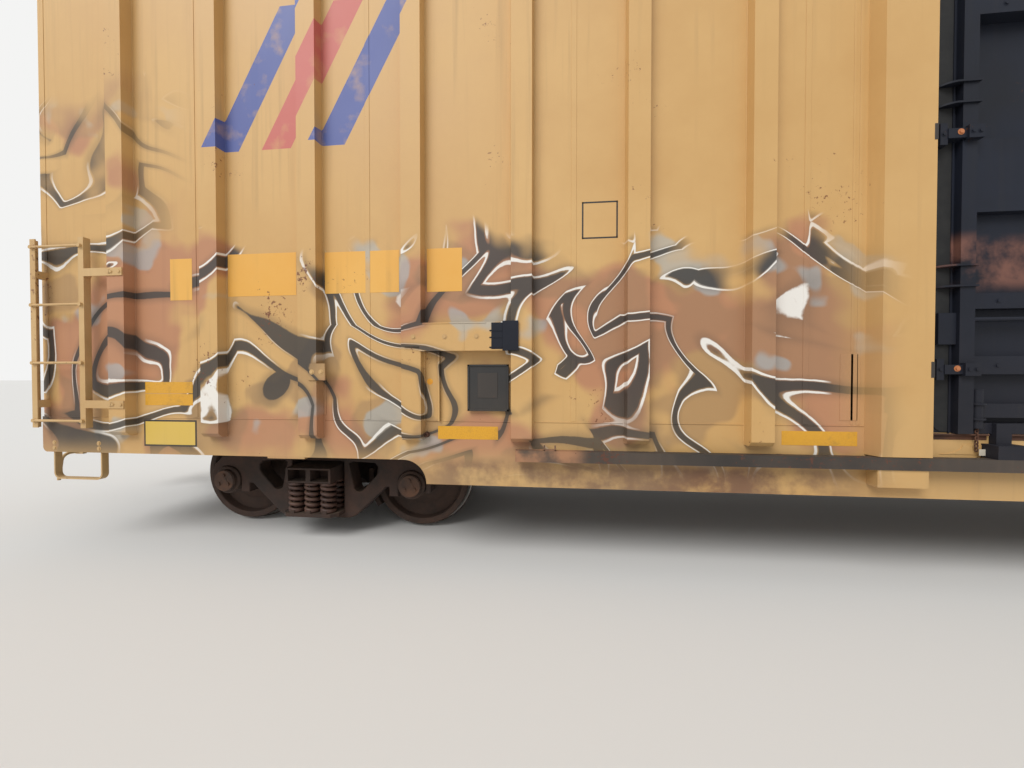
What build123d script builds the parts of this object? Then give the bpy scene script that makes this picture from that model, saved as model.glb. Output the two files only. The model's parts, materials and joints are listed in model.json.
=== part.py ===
from build123d import *
import math
import os

os.makedirs("parts", exist_ok=True)

# A sixty-foot, excess-height boxcar with double plug doors, in millimetres.
# X runs along the car, Y across it and Z up. The origin is under the middle of the car,
# at the height of the wheel flanges' tips. End a is at -X, and the near side is at -Y.

# Wheels and axles
tread_radius = 457.2
flange_height = 25.4
flange_width = 35.0
back_to_back = 1353.0
rim_width = 145.0
rim_thickness = 62.0
plate_thickness = 28.0
plate_dish = 30.0
hub_radius = 145.0
hub_length = 175.0
axle_radius = 82.0
bearing_radius = 126.0
bearing_width = 190.0
journal_span = 2006.6
cap_radius = 100.0
cap_projection = 36.0

rail_top = flange_height
axle_height = rail_top + tread_radius
wheel_back = back_to_back / 2
journal_y = journal_span / 2
cap_face = journal_y + bearing_width / 2 + cap_projection

# Trucks
truck_overhang = 2251.5
wheelbase = 1778.0
frame_width = 150.0
frame_top = rail_top + 740
frame_bottom = rail_top + 135
frame_overhang = 175.0
chord_depth = 88.0
bolster_window = 500.0
spring_seat = rail_top + 215
spring_top = rail_top + 485
spring_radius = 70.0
spring_pitch = 150.0
seat_thickness = 30.0
seat_corner = 50.0
spring_turns = 5
spring_wire = 30.0
spring_rows = 3
jaw_clearance = 0.3
pedestal_leg = 84.0
pedestal_foot = axle_height - 112.2
outer_foot = axle_height - 78
frame_round = 12.0
# a side frame's window, as distance from its middle and height
frame_window = (
    (300, frame_top - chord_depth - 20),
    (320, frame_top - chord_depth),
    (545, frame_top - chord_depth - 10),
    (575, frame_top - chord_depth - 45),
    (572, frame_top - chord_depth - 95),
    (550, frame_top - chord_depth - 130),
    (425, rail_top + 388),
    (398, rail_top + 378),
    (370, rail_top + 382),
    (350, rail_top + 402),
)
truck_bolster_width = 420.0
truck_bolster_height = 130.0
bolster_cell_half = 84.0
bolster_cell_wall = 15.0
truck_bolster_depth = 310.0
bowl_radius = 225.0
bowl_wall = 22.0
bowl_lip = 28.0
side_bearing_y = 635.0
side_bearing_top = rail_top + 700
swing_gap = 6.0
seat_gap = 0.3

# Brake rigging in a truck
shoe_gap = 8.0
shoe_thickness = 45.0
shoe_width = 85.0
shoe_arc = 42.0
beam_height = axle_height - 112.2
beam_radius = 38.0
beam_truss = 190.0

# Body heights
centre_plate_height = rail_top + 654
centre_plate_thickness = 38.0
centre_plate_radius = 197.0
floor_top = rail_top + 1110
floor_thickness = 72.0
seam_height = floor_top - 32
sill_shallow = rail_top + 773
sill_deep = rail_top + 588
roof_height = rail_top + 5182
roof_rise = 42.0
roof_thickness = 26.0
roof_rib = 22.0
roof_rib_width = 90.0
roof_panels = 15
roof_overhang = 30.0
side_plate_height = 82.0

floor_bottom = floor_top - floor_thickness
ridge_bottom = roof_height - roof_rib - roof_thickness
eave_height = ridge_bottom - roof_rise
wall_top = eave_height - side_plate_height

# Body plan
inside_length = 18517.0
inside_width = 2896.0
wall_thickness = 52.0
end_thickness = 20.0
end_rib_depth = 52.0
end_rib_height = 190.0
end_rib_pitch = 308.0
end_rib_first = seam_height + 200
end_rib_margin = 118.0
end_rib_taper = 110.0
corner_radius = 24.0
door_opening = 4877.0
bay = 832.0
post_base = 172.0
post_face = 152.0
post_depth = 84.0
post_foot = seam_height - 143
post_top_gap = 40.0
post_foot_cut = 30.0
door_post_width = 340.0
door_post_slope = 30.0
door_post_depth = 100.0
door_post_foot = seam_height - 194
keeper_plate = 12.0
keeper_height = (rail_top + 1610, rail_top + 1820)
# the posts, counted from the corner, that carry the keeper, and its reach past their middles
keeper_posts = (5, 4)
keeper_reach = (21.5, 52.5)
keeper_step = 34.0
keeper_lap = 8.0
end_wall_gap = 21.5

inside_half = inside_length / 2
body_half = inside_half + end_thickness + end_wall_gap
side_inner = inside_width / 2
side_outer = side_inner + wall_thickness
jamb = door_opening / 2
door_post_outer = jamb + door_post_width
truck_x = body_half - truck_overhang
post_count = int((body_half - door_post_outer - post_base / 2) // bay)
end_rib_count = int((wall_top - end_rib_first) // end_rib_pitch)

# Side sill
sill_plate = 12.0
sill_flange = 88.0
sill_shelf = 120.0
sill_corner = 45.0
jacking_pad = (160.0, 82.0, 14.0)
sill_step_x = truck_x - 1165.5
sill_step_radius = sill_shallow - sill_deep

# Centre sill, draft gear housing and cross members
centre_sill_gap = 300.0
centre_sill_web = 16.0
centre_sill_flange = 64.0
centre_sill_bottom = centre_plate_height + centre_plate_thickness
striker_x = body_half + 570
striker_thickness = 70.0
striker_width = 520.0
carrier_height = 45.0
bolster_width = 360.0
bolster_inner = 520.0
bolster_end_bottom = rail_top + 850
cross_web = 14.0
cross_flange = 150.0
bearer_pitch = 1400.0
bearer_foot = sill_deep + 35
end_bearer_x = body_half - 550
end_bearer_foot = sill_shallow + 40
bearer_count = int(sill_step_x // bearer_pitch)
# distance from the middle, height of the lower edge at the side sill
cross_bearers = [((k + 0.5) * bearer_pitch, bearer_foot) for k in range(bearer_count)]
cross_bearers.append((end_bearer_x, end_bearer_foot))

# Couplers
coupler_height = rail_top + 876
pulling_face_x = striker_x + 531
shank_width = 130.0
shank_height = 158.0
coupler_pin_back = 762.0
coupler_pin_radius = 44.0
pin_clearance = 1.0
head_height = 250.0
knuckle_height = 280.0
knuckle_pin_out = -38.0
knuckle_pin_side = 148.0
knuckle_lug_radius = 58.0
knuckle_pin_radius = 20.0

# Doors
door_gap = 4.0
leaf_depth = 50.0
leaf_sheet = 12.0
leaf_margin = 12.0
leaf_bottom = floor_bottom + seat_gap
leaf_top = wall_top - 14
leaf_rib_stand = 20.0
leaf_rib_height = 70.0
# places across a leaf are distances from its edge, the same at both edges
stile_inset = 184.5
stile_width = 90.0
stile_stand = 47.0
seal_rib = (158.5, 168.5)
seal_rib_stand = 12.0
# each member's foot, head and stand over the leaf's face
leaf_members = (
    (rail_top + 1146, rail_top + 1238, 26.0),
    (rail_top + 1433, rail_top + 1552, 32.0),
    (rail_top + 1865, rail_top + 1967, 32.0),
    (rail_top + 2503, rail_top + 2980, 22.0),
    (rail_top + 3772, rail_top + 3892, stile_stand),
)
foot_rod_inset = 317.5
foot_rod_radius = 28.0
foot_rod_sink = 4.0
foot_rod_heights = (leaf_bottom + 36, rail_top + 1333)
foot_rod_collars = (rail_top + 1136, rail_top + 1236)
foot_rod_seat = 356.5
latch_heights = (rail_top + 1464, rail_top + 3005, rail_top + 4520)
latch_height = 84.0
latch_reach = (190.5, 281.5)
latch_stand = 82.0
link_height = 62.0
link_stand = 67.0
bolt_block = (38.5, 82.5)
bolt_block_height = 140.0
bolt_block_stand = 62.0
guide_heights = (rail_top + 2083, rail_top + 3279)
guide_spread = 136.0
guide_plate = 12.0
guide_reach = (58.5, 284.5)
guide_curve = 84.0
guide_stand = 60.0
wear_pad = (73.5, 180.5)
wear_pad_heights = (rail_top + 1632, rail_top + 1841)
wear_pad_stand = 30.0
cross_rod_stand = 28.0
cross_rod_radius = 15.0
cross_rod_drop = 65.0
lever_radius = 14.0
gear_case = (300.0, 72.0, 260.0)
gear_case_height = rail_top + 1860
lever_length = 620.0
rail_half = 2 * jamb + 305
lower_rail = (floor_bottom - 240, floor_bottom - 158)
upper_rail = (wall_top - 12, wall_top + 62)
lower_rail_stand = 40.0
upper_rail_stand = 4.0
rail_depth = 62.0
rail_plate = 10.0
gusset_pitch = 832.0
gusset_width = 30.0
foot_pad = (lower_rail[0] - 118, 308.0)
carrier_half = 90.0
carrier_arm_half = 45.0
carrier_box_height = 90.0
carrier_inset = 456.5

# Ladders, steps and grab irons
rung_radius = 11.0
rung_first = rail_top + 1052
rung_pitch = 483.0
rung_count = 4
stile_leg = 50.0
stile_plate = 8.0
ladder_stand = post_depth
ladder_inset = 30.0
ladder_width = 510.0
ladder_inner = body_half - ladder_inset - ladder_width
clip_height = 64.0
clip_heights = (rail_top + 1192, rail_top + 2278)
step_inset = 88.0
step_width = 472.0
step_inner = body_half - step_inset - step_width
step_bar = 12.0
step_depth = 50.0
step_bend = 58.0
step_tread = sill_shallow - 237
rung_seat = 4.0
rung_head_radius = 15.0
end_ladder_outer = side_inner - 113
end_ladder_width = 430.0
end_ladder_stand = 130.0

# End platform, hand brake and uncoupling gear
end_sill_plate = 20.0
platform_reach = 345.0
platform_width = 1400.0
platform_thickness = 30.0
platform_top = floor_top - 25
platform_bars = 9
platform_slot = 24.0
brake_wheel_radius = 280.0
brake_wheel_rim = 14.0
brake_wheel_y = 330.0
brake_housing = (110.0, 330.0, 380.0)
brake_shaft_radius = 19.0
brake_rod_radius = 13.0
lever_rod_radius = 13.0
lever_rod_z = sill_shallow - 55
lever_rod_stand = 60.0
lever_corner_inset = 170.0
lever_centre_y = 300.0
lever_drop = 240.0
lever_kick = 40.0
lever_bend = 60.0

# Air brake gear under the floor
reservoir_radius = 205.0
reservoir_gap = 125.0
reservoir_length = bearer_pitch - 2 * reservoir_gap
reservoir_y = 820.0
reservoir_x = bearer_pitch
reservoir_drop = 260.0
cylinder_radius = 140.0
cylinder_length = 480.0
cylinder_x = -bearer_pitch
cylinder_y = 700.0
valve_size = (300.0, 260.0, 300.0)
valve_x = 350.0
hanger_width = 60.0
brake_rod_z = centre_sill_bottom - 34
brake_rod_y = 90.0
brake_rod_end = truck_x - 620

ends = (("a", -1), ("b", 1))
sides = (("near", -1), ("far", 1))


def write(piece, name):
    """Label a finished piece and write its file."""
    piece.part.label = name
    export_step(piece.part, f"parts/{name}.step")


def block(x, y, z, sx=1, sy=1, mode=Mode.ADD):
    """A block between pairs of places, mirrored to the end sx and the side sy."""
    with Locations((sx * (x[0] + x[1]) / 2, sy * (y[0] + y[1]) / 2, (z[0] + z[1]) / 2)):
        Box(x[1] - x[0], y[1] - y[0], z[1] - z[0], mode=mode)


def rod(start, end, radius, mode=Mode.ADD):
    """A round bar from one point to another."""
    run = Vector(*end) - Vector(*start)
    with BuildSketch(Plane(origin=start, z_dir=run)) as section:
        Circle(radius)
    extrude(section.sketch, amount=run.length, mode=mode)


def wheel_outline(side):
    """Points of one wheel and its half of the axle, as distance along the axle and radius."""
    back = wheel_back
    face = back + rim_width
    rim_inner = tread_radius - rim_thickness
    hub_mid = back + rim_width / 2 + plate_dish / 2
    plate_out = back + rim_width / 2 - plate_dish / 2
    bearing_in = journal_y - bearing_width / 2
    bearing_out = journal_y + bearing_width / 2
    taper = rim_width / 20
    half = (
        (0, axle_radius),
        (hub_mid - hub_length / 2 - 30, axle_radius),
        (hub_mid - hub_length / 2, axle_radius + 10),
        (hub_mid - hub_length / 2, hub_radius),
        (hub_mid - plate_thickness, hub_radius + 6),
        (plate_out - plate_thickness / 2, (hub_radius + rim_inner) / 2),
        (plate_out - plate_thickness / 2, rim_inner - 12),
        (back + 6, rim_inner),
        (back, rim_inner + 8),
        (back, tread_radius + flange_height * 0.55),
        (back + flange_width * 0.22, tread_radius + flange_height * 0.93),
        (back + flange_width * 0.38, tread_radius + flange_height),
        (back + flange_width * 0.56, tread_radius + flange_height * 0.9),
        (back + flange_width * 0.8, tread_radius + flange_height * 0.35),
        (back + flange_width * 1.1, tread_radius + 2),
        (face - 8, tread_radius + 2 - taper),
        (face, tread_radius - taper - 7),
        (face, rim_inner + 8),
        (face - 6, rim_inner),
        (plate_out + plate_thickness / 2, rim_inner - 12),
        (plate_out + plate_thickness / 2, (hub_radius + rim_inner) / 2),
        (hub_mid + plate_thickness, hub_radius + 6),
        (hub_mid + hub_length / 2, hub_radius),
        (hub_mid + hub_length / 2, axle_radius + 10),
        (bearing_in - 4, axle_radius),
        (bearing_in, bearing_radius - 8),
        (bearing_in + 8, bearing_radius),
        (bearing_out - 8, bearing_radius),
        (bearing_out, bearing_radius - 8),
        (bearing_out, cap_radius),
        (cap_face - 8, cap_radius),
        (cap_face, cap_radius - 8),
        (cap_face, 0),
        (0, 0),
    )
    return [(side * along, radius) for along, radius in half]


def make_wheelset(name, x):
    """Two wheels on their axle, with the bearings and end caps."""
    axle_plane = Plane(origin=(x, 0, axle_height), x_dir=(0, 1, 0), z_dir=(1, 0, 0))
    with BuildPart() as wheelset:
        with BuildSketch(axle_plane):
            for side in (-1, 1):
                with BuildLine():
                    Polyline(*wheel_outline(side), close=True)
                make_face()
        revolve(axis=Axis((x, 0, axle_height), (0, 1, 0)))
    write(wheelset, name)


def frame_outline():
    """One half of the side frame's outer outline, as distance from its middle and height."""
    pedestal = wheelbase / 2
    jaw = bearing_radius + jaw_clearance
    inner_leg = pedestal - jaw - pedestal_leg
    return (
        (0, frame_top),
        (bolster_window / 2 + 80, frame_top),
        (inner_leg, frame_top - 42),
        (pedestal + 60, frame_top - 62),
        (pedestal + jaw + 20, axle_height + jaw + 10),
        (pedestal + frame_overhang, axle_height + 40),
        (pedestal + frame_overhang, outer_foot + 15),
        (pedestal + frame_overhang - 15, outer_foot),
        (pedestal + jaw, outer_foot),
        (pedestal - jaw, pedestal_foot),
        (inner_leg, pedestal_foot),
        (inner_leg, axle_height - 28),
        (inner_leg - 32, axle_height - 28),
        (bolster_window / 2 + 115, frame_bottom + 25),
        (bolster_window / 2 + 50, frame_bottom),
        (0, frame_bottom),
    )


def make_side_frame(name, x, side):
    """A cast side frame with its spring seat, windows, pedestal jaws and brake beam guides."""
    pedestal = wheelbase / 2
    jaw = bearing_radius + jaw_clearance
    inner = journal_y - frame_width / 2
    seat_half = spring_pitch * (spring_rows - 1) / 2 + spring_radius + 3
    window_top = frame_top - chord_depth
    back_plane = Plane(
        origin=(x, side * journal_y + frame_width / 2, 0), x_dir=(1, 0, 0), z_dir=(0, -1, 0)
    )
    half = frame_outline()
    with BuildPart() as frame:
        with BuildSketch(back_plane):
            with BuildLine():
                Polyline(*half, *[(-u, v) for u, v in half[-2:0:-1]], close=True)
            make_face()
            with Locations((0, (spring_seat + window_top) / 2)):
                Rectangle(bolster_window, window_top - spring_seat, mode=Mode.SUBTRACT)
            for end in (-1, 1):
                with BuildLine():
                    Polyline(*[(end * u, v) for u, v in frame_window], close=True)
                make_face(mode=Mode.SUBTRACT)
                with Locations((end * pedestal, axle_height)):
                    Circle(jaw, mode=Mode.SUBTRACT)
                with Locations((end * pedestal, (pedestal_foot + axle_height) / 2 - 1)):
                    Rectangle(2 * jaw, axle_height - pedestal_foot + 2, mode=Mode.SUBTRACT)
        extrude(amount=frame_width)
        outer_face = frame.faces().filter_by(Axis.Y).sort_by(Axis.Y)[-1 if side > 0 else 0]
        fillet(outer_face.edges(), frame_round)
        for end in (-1, 1):
            guide = (pedestal - tread_radius - shoe_thickness - 60, pedestal - tread_radius - 8)
            block(
                (x + min(end * guide[0], end * guide[1]), x + max(end * guide[0], end * guide[1])),
                (inner - 28, inner),
                (beam_height - beam_radius - 22, beam_height - beam_radius - 6),
                sy=side,
            )
        with BuildSketch(Plane.XY.offset(spring_seat - seat_thickness)) as seat:
            with Locations((x, side * journal_y)):
                Rectangle(bolster_window + 16, 2 * seat_half)
            chamfer(seat.vertices(), seat_corner)
        extrude(amount=seat_thickness)
    write(frame, name)


def make_springs(name, x):
    """The spring groups of one truck, each coil as a stack of round turns on a core."""
    turn = (spring_top - spring_seat - 2 * seat_gap) / spring_turns
    core = spring_radius - spring_wire * 0.62
    with BuildPart() as springs:
        with BuildSketch(Plane(origin=(x, 0, 0), x_dir=(1, 0, 0), z_dir=(0, -1, 0))):
            with BuildLine():
                foot = spring_seat + seat_gap
                Line((0, foot), (core, foot))
                for k in range(spring_turns):
                    low = foot + k * turn
                    ThreePointArc(
                        (core, low), (spring_radius, low + turn / 2), (core, low + turn)
                    )
                Line((core, foot + spring_turns * turn), (0, foot + spring_turns * turn))
                Line((0, foot + spring_turns * turn), (0, foot))
            make_face()
        revolve(axis=Axis((x, 0, 0), (0, 0, 1)), mode=Mode.ADD)
    coil = springs.part
    with BuildPart() as group:
        for side in (-1, 1):
            with Locations((0, side * journal_y, 0)):
                with GridLocations(spring_pitch, spring_pitch, spring_rows, spring_rows):
                    add(coil)
    write(group, name)


def make_truck_bolster(name, x):
    """The truck bolster, with its centre bowl, side bearings and open ends."""
    reach = journal_y + spring_pitch * (spring_rows - 1) / 2 + spring_radius
    foot = spring_top
    top = foot + truck_bolster_height
    middle_top = centre_plate_height - 14
    half_width = truck_bolster_width / 2
    with BuildPart() as bolster:
        with BuildSketch(Plane(origin=(x - half_width, 0, 0), x_dir=(0, 1, 0), z_dir=(1, 0, 0))):
            with BuildLine():
                half = (
                    (0, middle_top),
                    (bowl_radius + 60, middle_top),
                    (journal_y - frame_width, top + 8),
                    (reach, top),
                    (reach, foot),
                    (journal_y - spring_pitch - spring_radius, foot),
                    (journal_y - spring_pitch - spring_radius - 260, top - truck_bolster_depth),
                    (0, top - truck_bolster_depth),
                )
                Polyline(*half, *[(-y, z) for y, z in half[-2:0:-1]], close=True)
            make_face()
        extrude(amount=truck_bolster_width)
        for side in (-1, 1):
            for cell in (-1, 1):
                middle = x + cell * half_width / 2
                block(
                    (middle - bolster_cell_half, middle + bolster_cell_half),
                    (reach - 150, reach),
                    (foot + bolster_cell_wall, top - bolster_cell_wall),
                    sy=side,
                    mode=Mode.SUBTRACT,
                )
            block(
                (x - 130, x + 130),
                (side_bearing_y - 60, side_bearing_y + 60),
                (top, side_bearing_top),
                sy=side,
            )
        with Locations((x, 0, centre_plate_height - 7)):
            Cylinder(bowl_radius, 14)
        with BuildSketch(Plane.XY.offset(centre_plate_height)):
            with Locations((x, 0)):
                Circle(bowl_radius)
                Circle(bowl_radius - bowl_wall, mode=Mode.SUBTRACT)
        extrude(amount=bowl_lip)
    write(bolster, name)


def make_brake_beams(name, x):
    """Two trussed brake beams with their heads and shoes, one inside each wheel pair."""
    shoe_inner = tread_radius + flange_height + shoe_gap
    wheel_mid = wheel_back + rim_width * 0.56
    with BuildPart() as beams:
        for end in (-1, 1):
            axle_x = x + end * wheelbase / 2
            reach = math.sqrt((shoe_inner + shoe_thickness) ** 2 - (axle_height - beam_height) ** 2)
            beam_x = axle_x - end * (reach + 8)
            tip = journal_y - frame_width / 2 - seat_gap
            rod((beam_x, -tip, beam_height), (beam_x, tip, beam_height), beam_radius * 0.72)
            strut_x = beam_x - end * beam_truss * 0.55
            for side in (-1, 1):
                rod(
                    (beam_x, side * (wheel_mid - 40), beam_height),
                    (strut_x, side * 40, beam_height - 30),
                    14,
                )
                low = math.degrees(math.asin((beam_height - axle_height) / shoe_inner))
                facing = 180 if end > 0 else 0
                middle = facing - low if end > 0 else low
                plane = Plane(
                    origin=(axle_x, side * wheel_mid - shoe_width / 2, axle_height),
                    x_dir=(1, 0, 0),
                    z_dir=(0, -1, 0),
                )
                with BuildSketch(plane):
                    with BuildLine():
                        arc_inner = CenterArc((0, 0), shoe_inner, middle - shoe_arc / 2, shoe_arc)
                        arc_outer = CenterArc(
                            (0, 0), shoe_inner + shoe_thickness, middle - shoe_arc / 2, shoe_arc
                        )
                        Line(arc_inner @ 0, arc_outer @ 0)
                        Line(arc_inner @ 1, arc_outer @ 1)
                    make_face()
                extrude(amount=-shoe_width)
                block(
                    (
                        min(beam_x, beam_x + end * 60),
                        max(beam_x, beam_x + end * 60),
                    ),
                    (wheel_mid - shoe_width / 2, wheel_mid + shoe_width / 2),
                    (beam_height - 55, beam_height + 55),
                    sy=side,
                )
            block(
                (min(beam_x, strut_x - end * 18), max(beam_x, strut_x - end * 18)),
                (-28, 28),
                (beam_height - 44, beam_height + 14),
            )
    write(beams, name)


def make_truck(end_name, sx):
    """Every piece of one truck."""
    x = sx * truck_x
    for k, along in enumerate((-wheelbase / 2, wheelbase / 2), start=1):
        make_wheelset(f"wheelset_{end_name}{k}", x + along)
    for side_name, sy in sides:
        make_side_frame(f"side_frame_{end_name}_{side_name}", x, sy)
    make_springs(f"springs_{end_name}", x)
    make_truck_bolster(f"truck_bolster_{end_name}", x)
    make_brake_beams(f"brake_beams_{end_name}", x)


def make_side_panel(name, sx, sy):
    """A side wall from the corner to the door jamb, with its posts and the door post."""
    with BuildPart() as panel:
        block((jamb, body_half), (side_inner, side_outer), (seam_height, wall_top), sx, sy)
        with BuildSketch(Plane.XY.offset(post_foot)):
            for k in range(1, post_count + 1):
                middle = body_half - k * bay
                with BuildLine():
                    Polyline(
                        (sx * (middle - post_base / 2), sy * side_outer),
                        (sx * (middle - post_face / 2), sy * (side_outer + post_depth)),
                        (sx * (middle + post_face / 2), sy * (side_outer + post_depth)),
                        (sx * (middle + post_base / 2), sy * side_outer),
                        close=True,
                    )
                make_face()
        extrude(amount=wall_top - post_top_gap - post_foot)
        post_outer = side_outer + post_depth
        cut_plane = Plane(origin=(sx * door_post_outer, 0, 0), x_dir=(0, 1, 0), z_dir=(1, 0, 0))
        with BuildSketch(cut_plane):
            with BuildLine():
                Polyline(
                    (sy * (post_outer - post_foot_cut), post_foot),
                    (sy * post_outer, post_foot),
                    (sy * post_outer, post_foot + post_foot_cut),
                    close=True,
                )
            make_face()
        extrude(amount=sx * (body_half - door_post_outer), mode=Mode.SUBTRACT)
        keeper_ends = [
            body_half - post * bay + reach for post, reach in zip(keeper_posts, keeper_reach)
        ]
        keeper_y = (post_outer, post_outer + keeper_plate)
        block(keeper_ends, keeper_y, (keeper_height[0] + keeper_step, keeper_height[1]), sx, sy)
        faces_reach = post_face / 2 - keeper_lap
        middle_ends = [
            body_half - post * bay + side * faces_reach for post, side in zip(keeper_posts, (1, -1))
        ]
        block(middle_ends, keeper_y, keeper_height, sx, sy)
        with BuildSketch(Plane.XY.offset(door_post_foot)):
            with BuildLine():
                Polyline(
                    (sx * jamb, sy * side_outer),
                    (sx * jamb, sy * (side_outer + door_post_depth)),
                    (sx * (door_post_outer - door_post_slope), sy * (side_outer + door_post_depth)),
                    (sx * door_post_outer, sy * side_outer),
                    close=True,
                )
            make_face()
        extrude(amount=upper_rail[0] - 4 - door_post_foot)
        corner = panel.edges().filter_by(Axis.Z).filter_by(
            lambda edge: abs(abs(edge.center().X) - body_half) < 1
            and abs(abs(edge.center().Y) - side_outer) < 1
        )
        fillet(corner, corner_radius)
    write(panel, name)


def make_side_plate(name, sy):
    """The top chord along one side, over the wall panels and the doors."""
    with BuildPart() as plate:
        block((-body_half, body_half), (side_inner - 8, side_outer + 4), (wall_top, eave_height), sy=sy)
        block(
            (-body_half, body_half),
            (side_outer + 4, side_outer + 26),
            (eave_height - 14, eave_height),
            sy=sy,
        )
    write(plate, name)


def make_side_sill(name, sy):
    """The side sill: a plate that is deep between the trucks, with its shelf and foot flange."""
    step_start = sill_step_x + sill_step_radius
    outline_plane = Plane(origin=(0, side_outer * sy, 0), x_dir=(1, 0, 0), z_dir=(0, -1, 0))
    centre = (step_start, sill_deep)
    diagonal = sill_step_radius * math.sqrt(0.5)
    with BuildPart() as sill:
        with BuildSketch(outline_plane) as outline:
            with BuildLine():
                Polyline(
                    (-sill_step_x, sill_deep),
                    (sill_step_x, sill_deep),
                )
                ThreePointArc(
                    (sill_step_x, sill_deep),
                    (centre[0] - diagonal, centre[1] + diagonal),
                    (step_start, sill_shallow),
                )
                Polyline(
                    (step_start, sill_shallow),
                    (body_half, sill_shallow),
                    (body_half, seam_height),
                    (jamb, seam_height),
                    (jamb, floor_bottom),
                    (-jamb, floor_bottom),
                    (-jamb, seam_height),
                    (-body_half, seam_height),
                    (-body_half, sill_shallow),
                    (-step_start, sill_shallow),
                )
                ThreePointArc(
                    (-step_start, sill_shallow),
                    (-centre[0] + diagonal, centre[1] + diagonal),
                    (-sill_step_x, sill_deep),
                )
            make_face()
            level = outline.vertices().filter_by_position(Axis.Y, sill_shallow - 1, sill_shallow + 1)
            corners = level.sort_by(Axis.X)
            fillet([corners[0], corners[-1]], sill_corner)
        extrude(amount=sill_plate * sy)
        web_inner = side_outer - sill_plate
        flange_inner = web_inner - sill_flange + sill_plate
        block(
            (-body_half, body_half),
            (side_outer - sill_shelf, web_inner),
            (floor_bottom - sill_plate, floor_bottom),
            sy=sy,
        )
        for sx in (-1, 1):
            block((jamb, body_half), (side_inner, web_inner), (floor_bottom, seam_height), sx, sy)
            block(
                (step_start, body_half - sill_corner),
                (flange_inner, web_inner),
                (sill_shallow, sill_shallow + sill_plate),
                sx,
                sy,
            )
            block(
                (truck_x - jacking_pad[0], truck_x + jacking_pad[0]),
                (side_outer - jacking_pad[1], side_outer - 2),
                (sill_shallow - jacking_pad[2], sill_shallow + sill_plate / 2),
                sx,
                sy,
            )
            block(
                (jamb + 16, jamb + 16 + foot_pad[1]),
                (web_inner, side_outer + lower_rail_stand + rail_depth - 8),
                (foot_pad[0], lower_rail[0]),
                sx,
                sy,
            )
        block(
            (-sill_step_x, sill_step_x),
            (flange_inner, web_inner),
            (sill_deep, sill_deep + sill_plate),
            sy=sy,
        )
    write(sill, name)


def make_roof():
    """The roof, a shallow peak of sheets joined by raised seam caps."""
    edge = side_outer + roof_overhang
    panel_length = 2 * body_half / roof_panels
    slope = (
        (-edge, eave_height),
        (0, ridge_bottom),
        (edge, eave_height),
        (edge, eave_height + roof_thickness),
        (0, ridge_bottom + roof_thickness),
        (-edge, eave_height + roof_thickness),
    )
    cap = (
        (-edge, eave_height),
        (0, ridge_bottom),
        (edge, eave_height),
        (edge, eave_height + roof_thickness + roof_rib),
        (0, ridge_bottom + roof_thickness + roof_rib),
        (-edge, eave_height + roof_thickness + roof_rib),
    )
    with BuildPart() as roof:
        with BuildSketch(Plane(origin=(-body_half, 0, 0), x_dir=(0, 1, 0), z_dir=(1, 0, 0))):
            with BuildLine():
                Polyline(*slope, close=True)
            make_face()
        extrude(amount=2 * body_half)
        for k in range(1, roof_panels):
            x = -body_half + k * panel_length - roof_rib_width / 2
            with BuildSketch(Plane(origin=(x, 0, 0), x_dir=(0, 1, 0), z_dir=(1, 0, 0))):
                with BuildLine():
                    Polyline(*cap, close=True)
                make_face()
            extrude(amount=roof_rib_width)
    write(roof, "roof")


def roof_underside(y):
    """Height of the roof's lower face at a distance from the middle."""
    edge = side_outer + roof_overhang
    return ridge_bottom - roof_rise * abs(y) / edge


def end_flat(k):
    """Height of the middle of the flat strip above one of the end wall's ribs."""
    return end_rib_first + (k + 1) * end_rib_pitch - (end_rib_pitch - end_rib_height) / 2


def make_end_wall(name, sx):
    """An end wall with pressed horizontal ribs, closed up to the roof."""
    shoulder = side_inner - 8
    with BuildPart() as wall:
        with BuildSketch(Plane(origin=(sx * inside_half, 0, 0), x_dir=(0, 1, 0), z_dir=(1, 0, 0))):
            with BuildLine():
                half = (
                    (side_inner, seam_height),
                    (side_inner, wall_top),
                    (shoulder, wall_top),
                    (shoulder, roof_underside(shoulder)),
                )
                Polyline(
                    *half,
                    (0, roof_underside(0)),
                    *[(-y, z) for y, z in reversed(half)],
                    close=True,
                )
            make_face()
        extrude(amount=sx * (body_half - inside_half))
        rib_plane = Plane(
            origin=(0, side_inner - end_rib_margin, 0), x_dir=(1, 0, 0), z_dir=(0, -1, 0)
        )
        with BuildSketch(rib_plane):
            for k in range(end_rib_count):
                low = end_rib_first + k * end_rib_pitch
                with BuildLine():
                    ThreePointArc(
                        (sx * body_half, low),
                        (sx * (body_half + end_rib_depth), low + end_rib_height / 2),
                        (sx * body_half, low + end_rib_height),
                    )
                    Line((sx * body_half, low + end_rib_height), (sx * body_half, low))
                make_face()
        extrude(amount=2 * (side_inner - end_rib_margin))
        rib_end = side_inner - end_rib_margin
        rib_face = body_half + end_rib_depth
        with BuildSketch(Plane.XY.offset(end_rib_first)):
            for side in (-1, 1):
                with BuildLine():
                    Polyline(
                        (sx * body_half, side * rib_end),
                        (sx * rib_face, side * (rib_end - end_rib_taper)),
                        (sx * rib_face, side * rib_end),
                        close=True,
                    )
                make_face()
        extrude(amount=end_rib_count * end_rib_pitch, mode=Mode.SUBTRACT)
    write(wall, name)


def make_floor():
    """The floor, between the walls."""
    with BuildPart() as floor:
        block((-inside_half, inside_half), (-side_inner, side_inner), (floor_bottom, floor_top))
    write(floor, "floor")


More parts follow.
